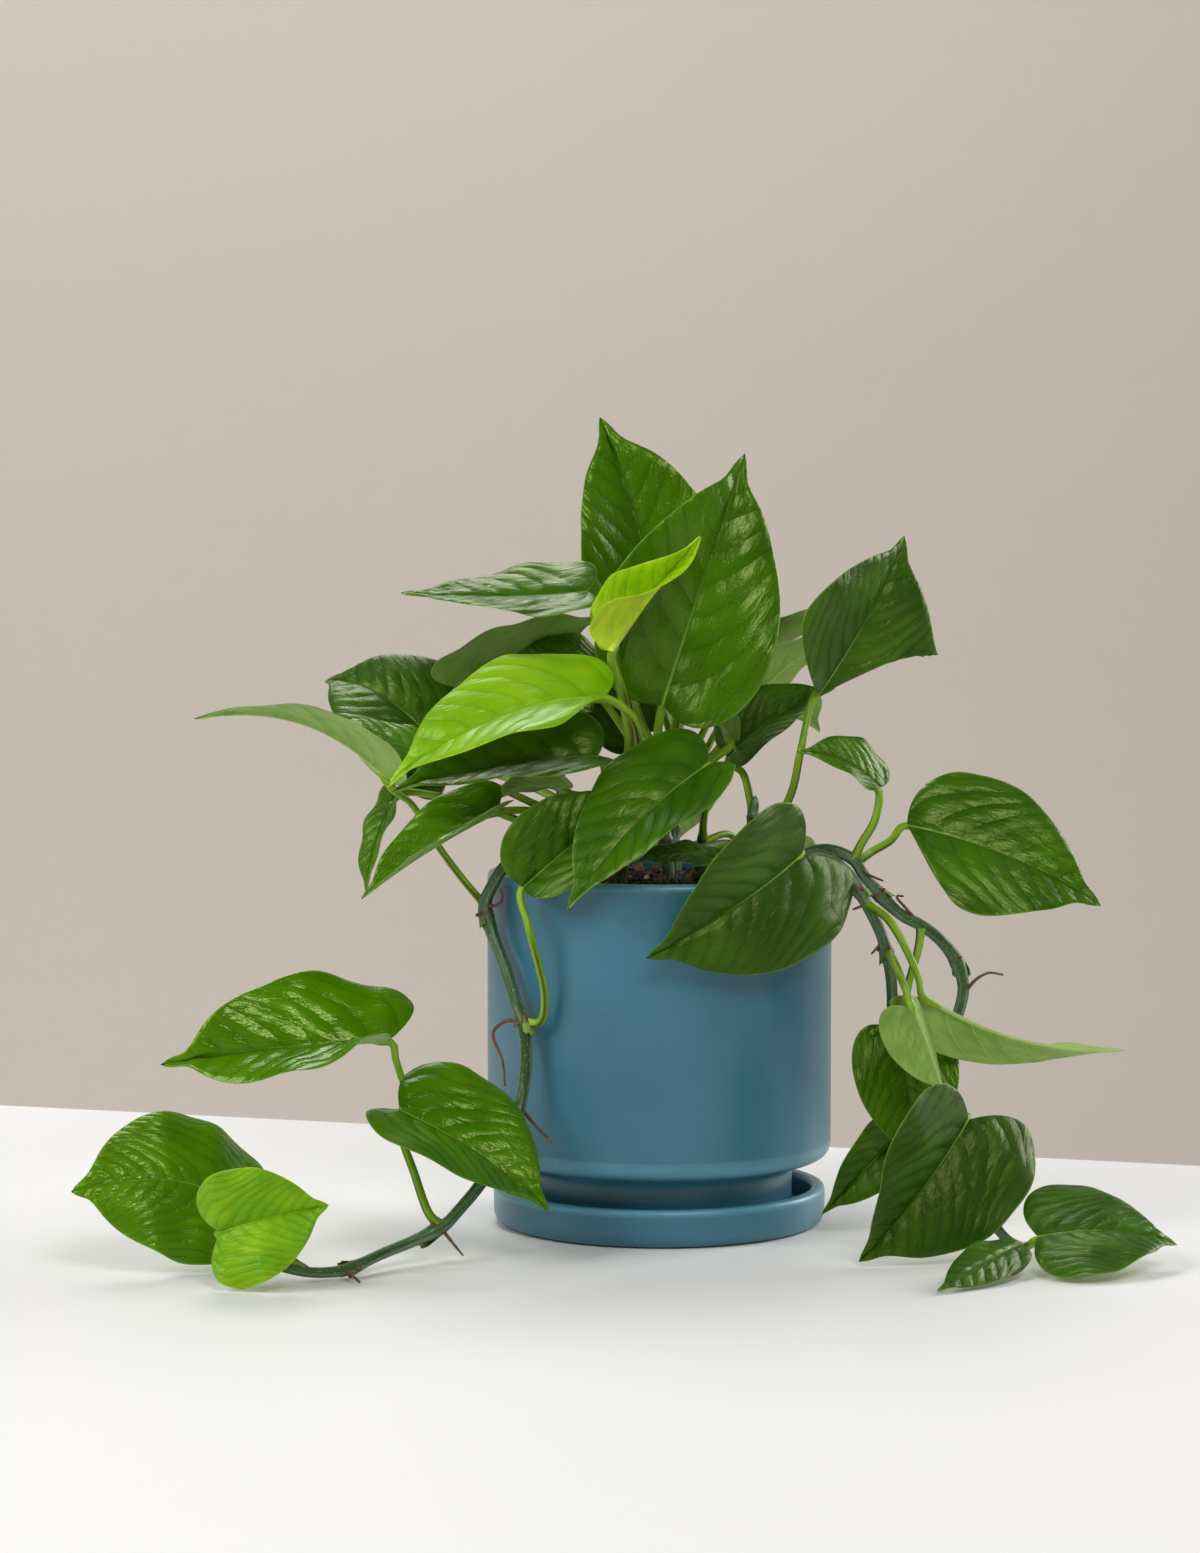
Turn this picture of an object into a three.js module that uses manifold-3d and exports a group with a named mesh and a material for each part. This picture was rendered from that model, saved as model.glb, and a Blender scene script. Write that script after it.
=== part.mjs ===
// A jade pothos (Epipremnum aureum) in a glazed ceramic pot that stands in its own saucer.
// Millimetres, +Z up. The pot's axis is the Z axis, the surface it stands on is z = 0,
// and the plant is seen from the -Y side. Vines hang over the rim and lie along the surface.
import * as THREE from 'three';
import { mergeVertices } from 'three/addons/utils/BufferGeometryUtils.js';
import Module from 'manifold-3d';

const wasm = await Module();
wasm.setup();

// Driving dimensions
const GAP = 0.3;
const POT_RADIUS = 75;
const RIM_HEIGHT = 154;
const POT_WALL = 6;
const STEP_HEIGHT = 28;
const FOOT_RADIUS = 58;
const DRAIN_RADIUS = 7;
const SAUCER_RADIUS = 72.5;
const SAUCER_HEIGHT = 16.5;
const SAUCER_FLOOR = 5;
const SOIL_TOP = 150;
const HOLE_DEPTH = 44;
const BLADE_THICKNESS = 0.9;
const BLADE_ROWS = 7;
const ROW_SPREAD = 1.4;
const STALK_RADIUS = 1.9;
const VINE_RADIUS = 2.9;
const ROUND_STEPS = 32;
const VINE_SIDES = 7;
const STALK_SIDES = 5;
const ROOT_SIDES = 4;

// Materials
const glaze = new THREE.MeshStandardMaterial({ color: 0x3f6c7c, roughness: 0.4 });
const mix = new THREE.MeshStandardMaterial({ color: 0x2b211b, roughness: 1 });
const green = new THREE.MeshStandardMaterial({ color: 0x3d7c1c, roughness: 0.35 });
const lime = new THREE.MeshStandardMaterial({ color: 0x84b820, roughness: 0.35 });
const bark = new THREE.MeshStandardMaterial({ color: 0x3f5c26, roughness: 0.6 });

const vec = (p) => new THREE.Vector3(p[0], p[1], p[2]);
const radians = THREE.MathUtils.degToRad;

const plant = new THREE.Group();
const sleeves = {};

// Solids and meshes

function toSolid(geometry) {
  const bare = geometry.clone();
  bare.deleteAttribute('normal');
  bare.deleteAttribute('uv');
  const merged = mergeVertices(bare, 1e-4);
  return new wasm.Manifold(new wasm.Mesh({
    numProp: 3,
    vertProperties: new Float32Array(merged.attributes.position.array),
    triVerts: new Uint32Array(merged.index.array),
  }));
}

function addMesh(name, solid, material) {
  const { vertProperties, triVerts } = solid.getMesh();
  const geometry = new THREE.BufferGeometry();
  geometry.setAttribute('position', new THREE.BufferAttribute(vertProperties, 3));
  geometry.setIndex(new THREE.BufferAttribute(triVerts, 1));
  geometry.computeVertexNormals();
  const mesh = new THREE.Mesh(geometry, material);
  mesh.name = name;
  plant.add(mesh);
}

function closedGeometry(points, triangles) {
  const geometry = new THREE.BufferGeometry();
  const flat = points.flatMap((p) => [p.x, p.y, p.z]);
  geometry.setAttribute('position', new THREE.Float32BufferAttribute(flat, 3));
  geometry.setIndex(triangles);
  return geometry;
}

// Turns a profile of [radius, height] points round the Z axis.
function turned(profile) {
  const points = profile.map(([r, z]) => new THREE.Vector2(r, z));
  return toSolid(new THREE.LatheGeometry(points, ROUND_STEPS).rotateX(Math.PI / 2));
}

// A closed tube with rounded-off ends along a smooth curve through the points.
// thickness(u) gives the radius at the part u of its length.
function tube(points, thickness, steps, sides) {
  const curve = new THREE.CatmullRomCurve3(points.map(vec), false, 'centripetal');
  const frames = curve.computeFrenetFrames(steps, false);
  const ring = [];
  for (let i = 0; i <= steps; i += 1) {
    const centre = curve.getPointAt(i / steps);
    const radius = thickness(i / steps);
    for (let k = 0; k < sides; k += 1) {
      const turn = (2 * Math.PI * k) / sides;
      const out = frames.normals[i].clone().multiplyScalar(Math.cos(turn) * radius);
      out.addScaledVector(frames.binormals[i], Math.sin(turn) * radius);
      ring.push(centre.clone().add(out));
    }
  }
  const first = ring.length;
  const last = first + 1;
  ring.push(curve.getPointAt(0).addScaledVector(frames.tangents[0], -0.4 * thickness(0)));
  ring.push(curve.getPointAt(1).addScaledVector(frames.tangents[steps], 0.4 * thickness(1)));
  const triangles = [];
  const end = steps * sides;
  for (let k = 0; k < sides; k += 1) {
    const next = (k + 1) % sides;
    for (let i = 0; i < end; i += sides) {
      triangles.push(i + k, i + next, i + sides + next);
      triangles.push(i + k, i + sides + next, i + sides + k);
    }
    triangles.push(first, next, k);
    triangles.push(last, end + k, end + next);
  }
  return toSolid(closedGeometry(ring, triangles));
}

// Saucer: a shallow dish with a rounded lower edge and a soft rim.
function makeSaucer() {
  const rim = SAUCER_RADIUS - 3;
  return turned([
    [0, 0], [66, 0], [69, 0.9], [71.4, 3.2], [SAUCER_RADIUS, 6.5],
    [SAUCER_RADIUS, SAUCER_HEIGHT - 2.4], [71.6, SAUCER_HEIGHT - 0.6], [rim, SAUCER_HEIGHT],
    [67.4, SAUCER_HEIGHT - 0.7], [66.4, SAUCER_HEIGHT - 2.6], [65.6, SAUCER_FLOOR + 2.2],
    [63.6, SAUCER_FLOOR], [0, SAUCER_FLOOR],
  ]);
}

// Pot: a straight cylinder over a narrower foot, one wall all the way, with a drain hole.
function makePot() {
  const foot = SAUCER_FLOOR + GAP;
  const inner = POT_RADIUS - POT_WALL;
  return turned([
    [DRAIN_RADIUS, foot], [FOOT_RADIUS - 1.6, foot], [FOOT_RADIUS, foot + 1.6],
    [FOOT_RADIUS, STEP_HEIGHT - 5], [FOOT_RADIUS + 2, STEP_HEIGHT - 2.4],
    [67, STEP_HEIGHT], [71.6, STEP_HEIGHT + 1.8], [74, STEP_HEIGHT + 4.6],
    [POT_RADIUS, STEP_HEIGHT + 8.6], [POT_RADIUS, RIM_HEIGHT - 2.4],
    [POT_RADIUS - 0.9, RIM_HEIGHT - 0.7], [POT_RADIUS - 3, RIM_HEIGHT],
    [inner + 0.8, RIM_HEIGHT - 0.8], [inner, RIM_HEIGHT - 3], [inner, STEP_HEIGHT + 10],
    [inner - 4, STEP_HEIGHT + 6], [FOOT_RADIUS - POT_WALL, STEP_HEIGHT + 2],
    [FOOT_RADIUS - POT_WALL, foot + 10], [FOOT_RADIUS - POT_WALL - 3, foot + POT_WALL],
    [DRAIN_RADIUS, foot + POT_WALL], [DRAIN_RADIUS, foot],
  ]);
}

// Potting mix: fills the pot to just under the rim, with a plain blind hole for each stem.
function makeSoil(holes) {
  const floor = SAUCER_FLOOR + GAP + POT_WALL + GAP;
  const low = FOOT_RADIUS - POT_WALL - GAP;
  const high = POT_RADIUS - POT_WALL - GAP;
  let soil = turned([
    [0, floor], [low - 4, floor], [low, floor + 5], [low, STEP_HEIGHT + 3],
    [high - 4.2, STEP_HEIGHT + 7], [high, STEP_HEIGHT + 11], [high, SOIL_TOP - 4],
    [high - 5, SOIL_TOP - 1.6], [high - 22, SOIL_TOP - 0.2], [high - 38, SOIL_TOP - 1], [0, SOIL_TOP],
  ]);
  for (const [x, y, radius] of holes) {
    const hole = new THREE.CylinderGeometry(radius, radius, 2 * HOLE_DEPTH, 12);
    hole.rotateX(Math.PI / 2).translate(x, y, SOIL_TOP);
    soil = soil.subtract(toSolid(hole));
  }
  return soil;
}

// Leaf outline. Part t of the way from the notch at the stalk to the tip, the half width is
// W sin(pi t^0.62)^0.85 (1 - 0.35 t^8), and the margin lies at L(t - lobe sqrt(t)(1 - t)^4) along
// the midrib, so it runs back behind the stalk in two round lobes and ends in a drawn-out tip.
function outline(leaf, t, side) {
  const swell = Math.max(0, Math.sin(Math.PI * t ** 0.62)) ** 0.85;
  const half = (leaf.width / 2) * swell * (1 - 0.35 * t ** 8);
  const along = t - leaf.lobe[side] * Math.sqrt(t) * (1 - t) ** 4;
  return [half, along];
}

// The blade's middle surface at part t of its length and part v of its half width, -1 to 1.
// Each half leaves the midrib at its fold angle and curls back by its curl angle as an arc.
// The midrib arches up and bows sideways by a parabola, and the blade twists round it.
function bladePoint(leaf, t, v) {
  const side = v < 0 ? 0 : 1;
  const reach = Math.abs(v);
  const [half, marginAlong] = outline(leaf, t, side);
  const s = t + (marginAlong - t) * reach;
  const flat = half * reach;
  const fold = radians(leaf.fold[side]);
  const curl = radians(leaf.curl[side]) / (leaf.width / 2) + 1e-6;
  const out = (Math.sin(fold) - Math.sin(fold - curl * flat)) / curl;
  const ripple = Math.sin(2 * Math.PI * (leaf.waves * s + 0.13 + 0.37 * side));
  const rise = (Math.cos(fold - curl * flat) - Math.cos(fold)) / curl
    + leaf.wave * reach * reach * ripple * Math.sin(Math.PI * t ** 0.5);
  const turn = radians(leaf.twist) * (s - 0.5);
  const across = (v < 0 ? -out : out) * Math.cos(turn) - rise * Math.sin(turn);
  const up = (v < 0 ? -out : out) * Math.sin(turn) + rise * Math.cos(turn);
  const hump = 4 * s * (1 - s);
  const p = leaf.start.clone();
  p.addScaledVector(leaf.along, s * leaf.length);
  p.addScaledVector(leaf.across, across + leaf.bow * hump);
  p.addScaledVector(leaf.up, up + leaf.arch * hump);
  return p;
}

// A leaf's own axes: along from the notch to the tip, up out of its upper face.
function readLeaf(entry) {
  const pair = (value) => (Array.isArray(value) ? value : [value, value]);
  const leaf = {
    lobe: 0.9, fold: 12, curl: 14, arch: 5, bow: 0, twist: 0, wave: 1.2, waves: 2.3,
    thick: 1, material: green, ...entry,
  };
  leaf.start = vec(leaf.base);
  leaf.along = vec(leaf.tip).sub(leaf.start);
  leaf.length = leaf.along.length();
  leaf.along.normalize();
  leaf.up = vec(leaf.face).normalize();
  leaf.up.addScaledVector(leaf.along, -leaf.up.dot(leaf.along)).normalize();
  leaf.across = leaf.along.clone().cross(leaf.up);
  leaf.lobe = pair(leaf.lobe);
  leaf.fold = pair(leaf.fold);
  leaf.curl = pair(leaf.curl);
  return leaf;
}

// The blade as one closed body: the same split into triangles above and below, and a thin rim.
function makeBlade(leaf) {
  const middle = [];
  const row = [];
  const steps = [-1, -0.5, 0, 0.5, 1];
  for (let i = 0; i <= BLADE_ROWS; i += 1) {
    const t = (i / BLADE_ROWS) ** ROW_SPREAD;
    const ends = i === 0 || i === BLADE_ROWS;
    row.push(steps.map((v, j) => {
      if (!ends || j === 0) {
        middle.push(bladePoint(leaf, t, v));
      }
      return middle.length - 1;
    }));
  }
  const sheet = [];
  const cell = (a, b, c) => {
    if (a !== b && b !== c && c !== a) {
      sheet.push([a, b, c]);
    }
  };
  for (let i = 0; i < BLADE_ROWS; i += 1) {
    for (let j = 0; j < steps.length - 1; j += 1) {
      const [a, b] = [row[i][j], row[i][j + 1]];
      const [c, d] = [row[i + 1][j], row[i + 1][j + 1]];
      if (j < 2) {
        cell(a, b, c);
        cell(b, d, c);
      } else {
        cell(a, b, d);
        cell(a, d, c);
      }
    }
  }
  const normals = middle.map(() => new THREE.Vector3());
  for (const [a, b, c] of sheet) {
    const ab = middle[b].clone().sub(middle[a]);
    const face = ab.cross(middle[c].clone().sub(middle[a]));
    [a, b, c].forEach((k) => normals[k].add(face));
  }
  const count = middle.length;
  const half = BLADE_THICKNESS / 2;
  const above = middle.map((p, k) => p.clone().addScaledVector(normals[k].normalize(), half));
  const below = middle.map((p, k) => p.clone().addScaledVector(normals[k], -half));
  const triangles = [];
  for (const [a, b, c] of sheet) {
    triangles.push(a, b, c, count + a, count + c, count + b);
  }
  const left = row.map((r) => r[0]);
  const right = row.map((r) => r[r.length - 1]).slice(1, -1).reverse();
  const rim = left.concat(right);
  rim.forEach((a, k) => {
    const b = rim[(k + 1) % rim.length];
    triangles.push(a, b, count + b, a, count + b, count + a);
  });
  return toSolid(closedGeometry(above.concat(below), triangles));
}

// The stalk runs from just clear of its stem, through its points, and on under the midrib.
function makeStalk(leaf) {
  const under = (t, drop) => bladePoint(leaf, t, 0).addScaledVector(leaf.up, -drop).toArray();
  const knee = leaf.start.clone().addScaledVector(leaf.up, -1.2).addScaledVector(leaf.along, -1.5);
  const points = [...leaf.stalk, knee.toArray(), under(0.08, 0.4)];
  const radius = STALK_RADIUS * leaf.thick;
  const taper = (u) => radius * (1.15 - 0.25 * u) * (u > 0.99 ? 0.35 : 1);
  return tube(points, taper, 3 + leaf.stalk.length, STALK_SIDES);
}

// The stalk starts on its stem's axis, and is cut back to just clear of the stem.
function addLeaf(entry) {
  const leaf = readLeaf(entry);
  const whole = makeBlade(leaf).add(makeStalk(leaf)).subtract(sleeves[leaf.on]);
  const pieces = whole.decompose().sort((a, b) => b.volume() - a.volume());
  addMesh(leaf.name, pieces[0], leaf.material);
}

// Stems. Each has its points, the heights or places of its nodes along it, and thin roots.
function addStem(name, stem) {
  const swell = (u) => stem.nodes.reduce((sum, n) => sum + Math.exp(-(((u - n) / 0.018) ** 2)), 0);
  const radius = (u) => VINE_RADIUS * (1 + 0.28 * swell(u)) * (1 - 0.25 * u ** 4);
  let solid = tube(stem.points, radius, stem.steps, VINE_SIDES);
  sleeves[name] = tube(stem.points, (u) => radius(u) + GAP, stem.steps, VINE_SIDES);
  for (const root of stem.roots ?? []) {
    solid = solid.add(tube(root, (u) => 0.9 - 0.45 * u, 5, ROOT_SIDES));
  }
  addMesh(name, solid, bark);
}

const stems = {
  stem_left: {
    points: [[-36, 6, 107.5], [-36, 6, 130], [-36, 6, 152], [-38, 7, 170], [-43, 8, 188], [-45, 10, 204]],
    nodes: [0.5, 0.64, 0.78, 0.9], steps: 12,
  },
  stem_front_left: {
    points: [
      [-17, -18, 107.5], [-17, -18, 130], [-17, -18, 152], [-15, -19, 172], [-12, -20, 192],
      [-13, -18, 206],
    ],
    nodes: [0.5, 0.62, 0.74, 0.86], steps: 12,
  },
  stem_front: {
    points: [[16, -30, 107.5], [16, -30, 130], [16, -30, 152], [17, -30, 162], [18, -31, 174]],
    nodes: [0.7, 0.86], steps: 11,
  },
  stem_middle: {
    points: [[4, 2, 107.5], [4, 2, 130], [4, 2, 152], [2, 3, 176], [0, 4, 206]],
    nodes: [0.6, 0.74, 0.88], steps: 11,
  },
  stem_right: {
    points: [[38, 0, 107.5], [38, 0, 130], [38, 0, 152], [40, 2, 170], [42, 4, 186]],
    nodes: [0.6, 0.74, 0.88], steps: 11,
  },
  stem_back: {
    points: [[8, 36, 107.5], [8, 36, 130], [8, 36, 152], [7, 40, 172], [8, 42, 198]],
    nodes: [0.55, 0.68, 0.8, 0.92], steps: 11,
  },
  vine_left: {
    points: [
      [-46, -16, 107.5], [-46, -16, 130], [-46, -16, 151], [-52, -20, 161], [-63, -26, 165],
      [-72, -30, 157], [-75, -33, 142], [-72, -37, 130], [-66, -47, 116], [-61, -54, 101],
      [-58, -58, 94], [-57, -61, 81], [-58, -64, 68], [-60, -68, 58], [-66, -75, 45],
      [-75, -84, 31], [-84, -93, 21], [-91, -100, 15], [-115, -118, 7], [-129, -136, 4],
      [-143, -145, 5], [-153, -147, 8], [-161, -149, 13],
    ],
    nodes: [0.3, 0.45, 0.58, 0.75, 0.88, 0.98], steps: 46,
    roots: [
      [[-75, -33, 142], [-71, -36, 143], [-68, -37, 146], [-68, -37, 150], [-70, -36, 152]],
      [[-58, -58, 94], [-65, -57, 95], [-71, -57, 90], [-67, -59, 78], [-66, -62, 68]],
      [[-59, -67, 59], [-52, -74, 52], [-46, -80, 47]],
      [[-91, -100, 14], [-86, -106, 9], [-82, -110, 5]],
      [[-129, -136, 4], [-125, -143, 3], [-122, -148, 1.5]],
    ],
  },
  vine_right: {
    points: [
      [54, -12, 107.5], [54, -12, 130], [54, -12, 151], [60, -14, 160], [71, -16, 164],
      [83, -18, 160], [90, -18, 150], [104, -17, 136], [113, -16, 131], [121, -16, 125],
      [128, -17, 116], [131, -19, 105], [129, -22, 95], [120, -27, 75], [118, -31, 64],
      [122, -46, 44], [132, -70, 22], [142, -92, 9], [148, -104, 6],
    ],
    nodes: [0.33, 0.48, 0.75, 0.99], steps: 38,
    roots: [
      [[83, -18, 159], [89, -21, 154], [96, -22, 151]],
      [[113, -16, 131], [106, -18, 139], [102, -18, 144], [105, -18, 144]],
      [[130, -20, 100], [136, -21, 108], [142, -20, 111], [148, -19, 110]],
    ],
  },
  vine_middle: {
    points: [
      [50, -36, 107.5], [50, -36, 130], [50, -36, 150], [56, -33, 159], [68, -31, 163],
      [80, -31, 155], [88, -33, 142], [94, -34, 130], [97, -34, 120], [99, -33, 106],
      [99, -32, 92], [98, -31, 76], [97, -31, 60],
    ],
    nodes: [0.5, 0.66, 0.98], steps: 26,
    roots: [
      [[88, -34, 142], [82, -36, 140]],
      [[95, -34, 126], [90, -36, 121]],
    ],
  },
};

const leaves = [
  // Crown, back to front
  { name: 'leaf_top_back', on: 'stem_middle', base: [4, 40, 257], tip: [-26, 50, 352],
    face: [0.3, -1, 0.1], width: 73, lobe: [0.4, 0.9], fold: 26, arch: 4, wave: 2,
    stalk: [[1, 4, 190], [5, 14, 206], [9, 32, 236]] },
  { name: 'leaf_top_front', on: 'stem_middle', base: [1.2, -10, 226.4], tip: [37, 5, 335],
    face: [0, -1, 0.2], width: 79, twist: -50, lobe: [0.3, 0.55], fold: [32, 4], curl: 16, arch: 6,
    thick: 1.2,
    stalk: [[1, 4, 188], [0, -4, 196], [-1, -9, 210]] },
  { name: 'leaf_curled_lime', on: 'stem_front_left', base: [-21, -24, 250], tip: [17, -30, 299],
    face: [-0.5, -1, 0.3], width: 40, fold: [51, 71], twist: -130, curl: 0, arch: 2, lobe: [0.5, 0.3],
    material: lime, thick: 1.3,
    stalk: [[-13, -18, 202], [-13, -18, 214], [-17, -18, 234]] },
  { name: 'leaf_upper_left', on: 'stem_middle', base: [-32, 0, 275], tip: [-112, 0, 274],
    face: [0, -0.36, 0.93], width: 50, fold: 14, arch: -2, twist: -20, lobe: 0.6,
    stalk: [[0, 4, 203], [-8, 5, 218], [-16, 4, 244]] },
  { name: 'leaf_under_left', on: 'stem_left', base: [-89, 25, 233], tip: [-25, 28, 264],
    face: [-0.2, 0.6, 0.8], width: 49, fold: 10, arch: 1,
    stalk: [[-45, 10, 200], [-56, 16, 207], [-70, 22, 216]] },
  { name: 'leaf_dark_left', on: 'stem_left', base: [-94, 42, 201], tip: [-151, 74, 233],
    face: [-0.2, -0.7, 0.8], width: 62, fold: 12, arch: 16,
    stalk: [[-41, 8, 182], [-54, 18, 188], [-74, 34, 194]] },
  { name: 'leaf_low_dark_left', on: 'stem_left', base: [-95, 4, 198], tip: [-148, 6, 216],
    face: [0.1, -0.35, 0.95], width: 36, fold: 12,
    stalk: [[-39, 7, 176], [-54, 6, 182], [-72, 5, 190]] },
  { name: 'leaf_far_left', on: 'vine_left', base: [-115, -25, 193], tip: [-199, -30, 221],
    face: [0.1, 0.2, 1], width: 46, fold: 20, arch: 13, twist: 25, lobe: 0.6,
    stalk: [[-75, -33, 142], [-81, -29, 148], [-94, -22, 164], [-107, -20, 184]] },
  { name: 'leaf_big_lime', on: 'stem_front_left', base: [-24, -40, 231], tip: [-115, -62, 194],
    face: [-0.2, -0.6, 0.8], width: 62, lobe: [-0.4, 0.8], fold: [26, 18], arch: 12, wave: 1.8,
    material: lime, thick: 1.2,
    stalk: [[-12, -20, 194], [-9, -26, 206], [-12, -36, 222]] },
  { name: 'leaf_below_lime', on: 'stem_front_left', base: [-27, -30, 205], tip: [-114, -50, 191],
    face: [0, -0.7, 0.7], width: 54, fold: [40, 22], lobe: 0.6, arch: 5,
    stalk: [[-15, -19, 174], [-20, -24, 184], [-23, -28, 194]] },
  { name: 'leaf_lower_left', on: 'stem_front_left', base: [-70, -35, 182], tip: [-127, -49, 146],
    face: [-0.1, -0.85, 0.5], width: 38, fold: [74, 8], arch: 4,
    stalk: [[-16, -18, 162], [-26, -23, 170], [-48, -30, 181]] },
  { name: 'leaf_hanging_left', on: 'stem_left', base: [-115, 9, 186], tip: [-128, -2, 143],
    face: [-0.9, -0.6, 0.2], width: 23, fold: 24, bow: -5,
    stalk: [[-37, 6, 162], [-54, 4, 172], [-88, 4, 184]] },
  { name: 'leaf_front_round', on: 'vine_left', base: [-58, -62, 152], tip: [-9, -42, 190],
    face: [0, -1, 0.3], width: 48, fold: [16, 52], lobe: 0.4, arch: 6,
    stalk: [[-58, -58, 94], [-51, -62, 95], [-49, -65, 106], [-56, -66, 136]] },
  { name: 'leaf_front_middle', on: 'stem_front', base: [20, -50, 203], tip: [-39, -88, 145],
    face: [-0.3, -0.8, 0.55], width: 60, fold: [34, 14], lobe: [0.4, 0.9], arch: 8,
    stalk: [[18, -31, 170], [18, -39, 178], [20, -46, 192]] },
  { name: 'leaf_front_right', on: 'stem_front', base: [59, -54, 165], tip: [-7, -88, 125],
    face: [0.2, -1, -0.15], width: 75, fold: [12, 34], lobe: [1.6, 0.6], arch: 8,
    stalk: [[17, -30, 162], [26, -34, 166], [44, -43, 173]] },
  { name: 'leaf_upper_right', on: 'stem_right', base: [69, 0, 230], tip: [107, 10, 299],
    face: [0.4, -0.9, -0.2], width: 80, fold: [30, 10], lobe: [-0.2, -1.8],
    stalk: [[40, 2, 168], [50, -4, 175], [57, -7, 188], [61, -6, 206]] },
  { name: 'leaf_behind_right', on: 'stem_right', base: [30.7, 26, 201.6], tip: [77.5, 21, 232.5],
    face: [-0.2, -0.7, 0.7], width: 45, lobe: 0.4, fold: [9, 34],
    stalk: [[41, 3, 176], [40, 9, 184], [37, 18, 195]] },
  { name: 'leaf_strap_right', on: 'stem_back', base: [38, 52, 241], tip: [85, 52, 265],
    face: [0.2, 0.5, 1], width: 30,
    stalk: [[8, 42, 192], [16, 50, 203], [28, 53, 226]] },
  { name: 'leaf_pale_right', on: 'stem_back', base: [46, 39, 231], tip: [84, 39, 253],
    face: [0.2, 0.5, 1], width: 34,
    stalk: [[8, 41, 186], [18, 43, 194], [36, 42, 216]] },
  { name: 'leaf_small_right', on: 'vine_right', base: [94, -20, 191], tip: [58, -30, 207],
    face: [0.2, -0.6, 0.8], width: 32, lobe: [0.2, 0.9], fold: 26,
    stalk: [[83, -18, 159], [86, -20, 166], [92, -22, 177]] },
  { name: 'leaf_big_right', on: 'vine_right', base: [106.7, -15, 174.5], tip: [190, -20, 140],
    face: [0, -0.8, 0.55], width: 70, bow: -3, fold: [6, 12], arch: 4, lobe: [0.3, -0.6],
    stalk: [[84, -18, 158], [92, -14, 163], [100, -15, 168]] },
  { name: 'leaf_pale_long', on: 'vine_middle', base: [112, -53, 104], tip: [195.5, -57, 82.3],
    face: [0, 1, -0.1], width: 38, lobe: [1.2, 0.3], twist: -80, fold: [48, 98], curl: 0, bow: -7,
    wave: 0.6,
    stalk: [[88, -33, 142], [96, -41, 137], [103, -48, 126], [109, -52, 112]] },
  { name: 'leaf_pale_short', on: 'vine_middle', base: [104.5, -73, 102], tip: [118, -76, 66.4],
    face: [0.1, 1, 0], width: 34, fold: [8, 80], curl: 0, wave: 0.6,
    stalk: [[97, -34, 121], [98, -46, 120], [102, -63, 110]] },
  { name: 'leaf_glossy_right', on: 'vine_right', base: [103, -37, 86], tip: [109, -42, 32],
    face: [0, -1, 0.1], width: 46, fold: [2, 12],
    stalk: [[113, -16, 131], [111, -22, 121], [107, -26, 108], [105, -30, 98]] },
  { name: 'leaf_heart_right', on: 'vine_right', base: [127, -84, 57], tip: [80, -108, 2],
    face: [0.5, -0.85, 0.2], width: 76, fold: [26, 44], lobe: [1.4, 0.5], arch: 6,
    stalk: [[118, -30, 66], [128, -35, 69], [136, -54, 69], [134, -72, 65]] },
  { name: 'leaf_by_saucer', on: 'vine_middle', base: [108, -24, 46], tip: [69, -38, 9],
    face: [-0.1, -0.9, 0.2], width: 30, fold: [12, 44],
    stalk: [[97, -31, 62], [103, -30, 61], [110, -27, 56]] },
  { name: 'leaf_floor_right', on: 'vine_right', base: [153, -114, 13.6], tip: [210, -112, 9.6],
    face: [0, -0.45, 0.9], width: 66, lobe: [0.7, 0.5], twist: 8, wave: 0.5, fold: [4, 12], arch: 5,
    stalk: [[147, -102, 6], [152, -108, 10]] },
  { name: 'leaf_floor_small', on: 'vine_right', base: [145, -121, 12], tip: [107, -168, 1.5],
    face: [0.3, -0.5, 0.8], width: 22, fold: [0, -14], curl: 0, lobe: 0.2, arch: 2,
    stalk: [[145, -99, 7], [144, -109, 10]] },
  { name: 'leaf_trailing_upper', on: 'vine_left', base: [-115, -60, 87], tip: [-210, -70, 78],
    face: [0, -0.7, 0.7], width: 68, lobe: [0.2, 1], fold: [36, 30], arch: 5, bow: -2, wave: 2, twist: 54,
    stalk: [[-60, -68, 58], [-72, -66, 52], [-96, -66, 54], [-107, -62, 66], [-112, -60, 79]] },
  { name: 'leaf_trailing_middle', on: 'vine_left', base: [-109, -85, 61], tip: [-47, -100, 21],
    face: [0.1, -0.5, 0.85], width: 68, fold: [20, 28], arch: 5,
    stalk: [[-91, -100, 15], [-96, -101, 20], [-103, -97, 38], [-109, -91, 53]] },
  { name: 'leaf_trailing_far', on: 'vine_left', base: [-185, -106, 31], tip: [-240, -126, 34],
    face: [0, -0.9, 0.4], width: 67, bow: 4, lobe: [1, 2.9], fold: [2, -6], arch: 6, wave: 2,
    stalk: [[-144, -145, 5], [-154, -138, 12], [-164, -126, 24], [-178, -111, 30]] },
  { name: 'leaf_trailing_tip', on: 'vine_left', base: [-177, -152, 22.5], tip: [-134, -150, 33],
    face: [0, -0.95, 0.3], width: 50, fold: [38, 10], lobe: 1.1, arch: 5, wave: 2, material: lime,
    stalk: [[-159, -149, 12], [-170, -151, 17]] },
  // Small and half-hidden leaves of the crown
  { name: 'leaf_pale_middle', on: 'stem_middle', base: [32, 6, 211], tip: [4, 16, 233],
    face: [0, 0.5, 0.85], width: 28,
    stalk: [[2, 3, 178], [11, 4, 188], [24, 4, 202]] },
  { name: 'leaf_behind_lime', on: 'stem_middle', base: [-30, 20, 234], tip: [-66, 19, 246],
    face: [0, -0.8, 0.6], width: 38,
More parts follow.
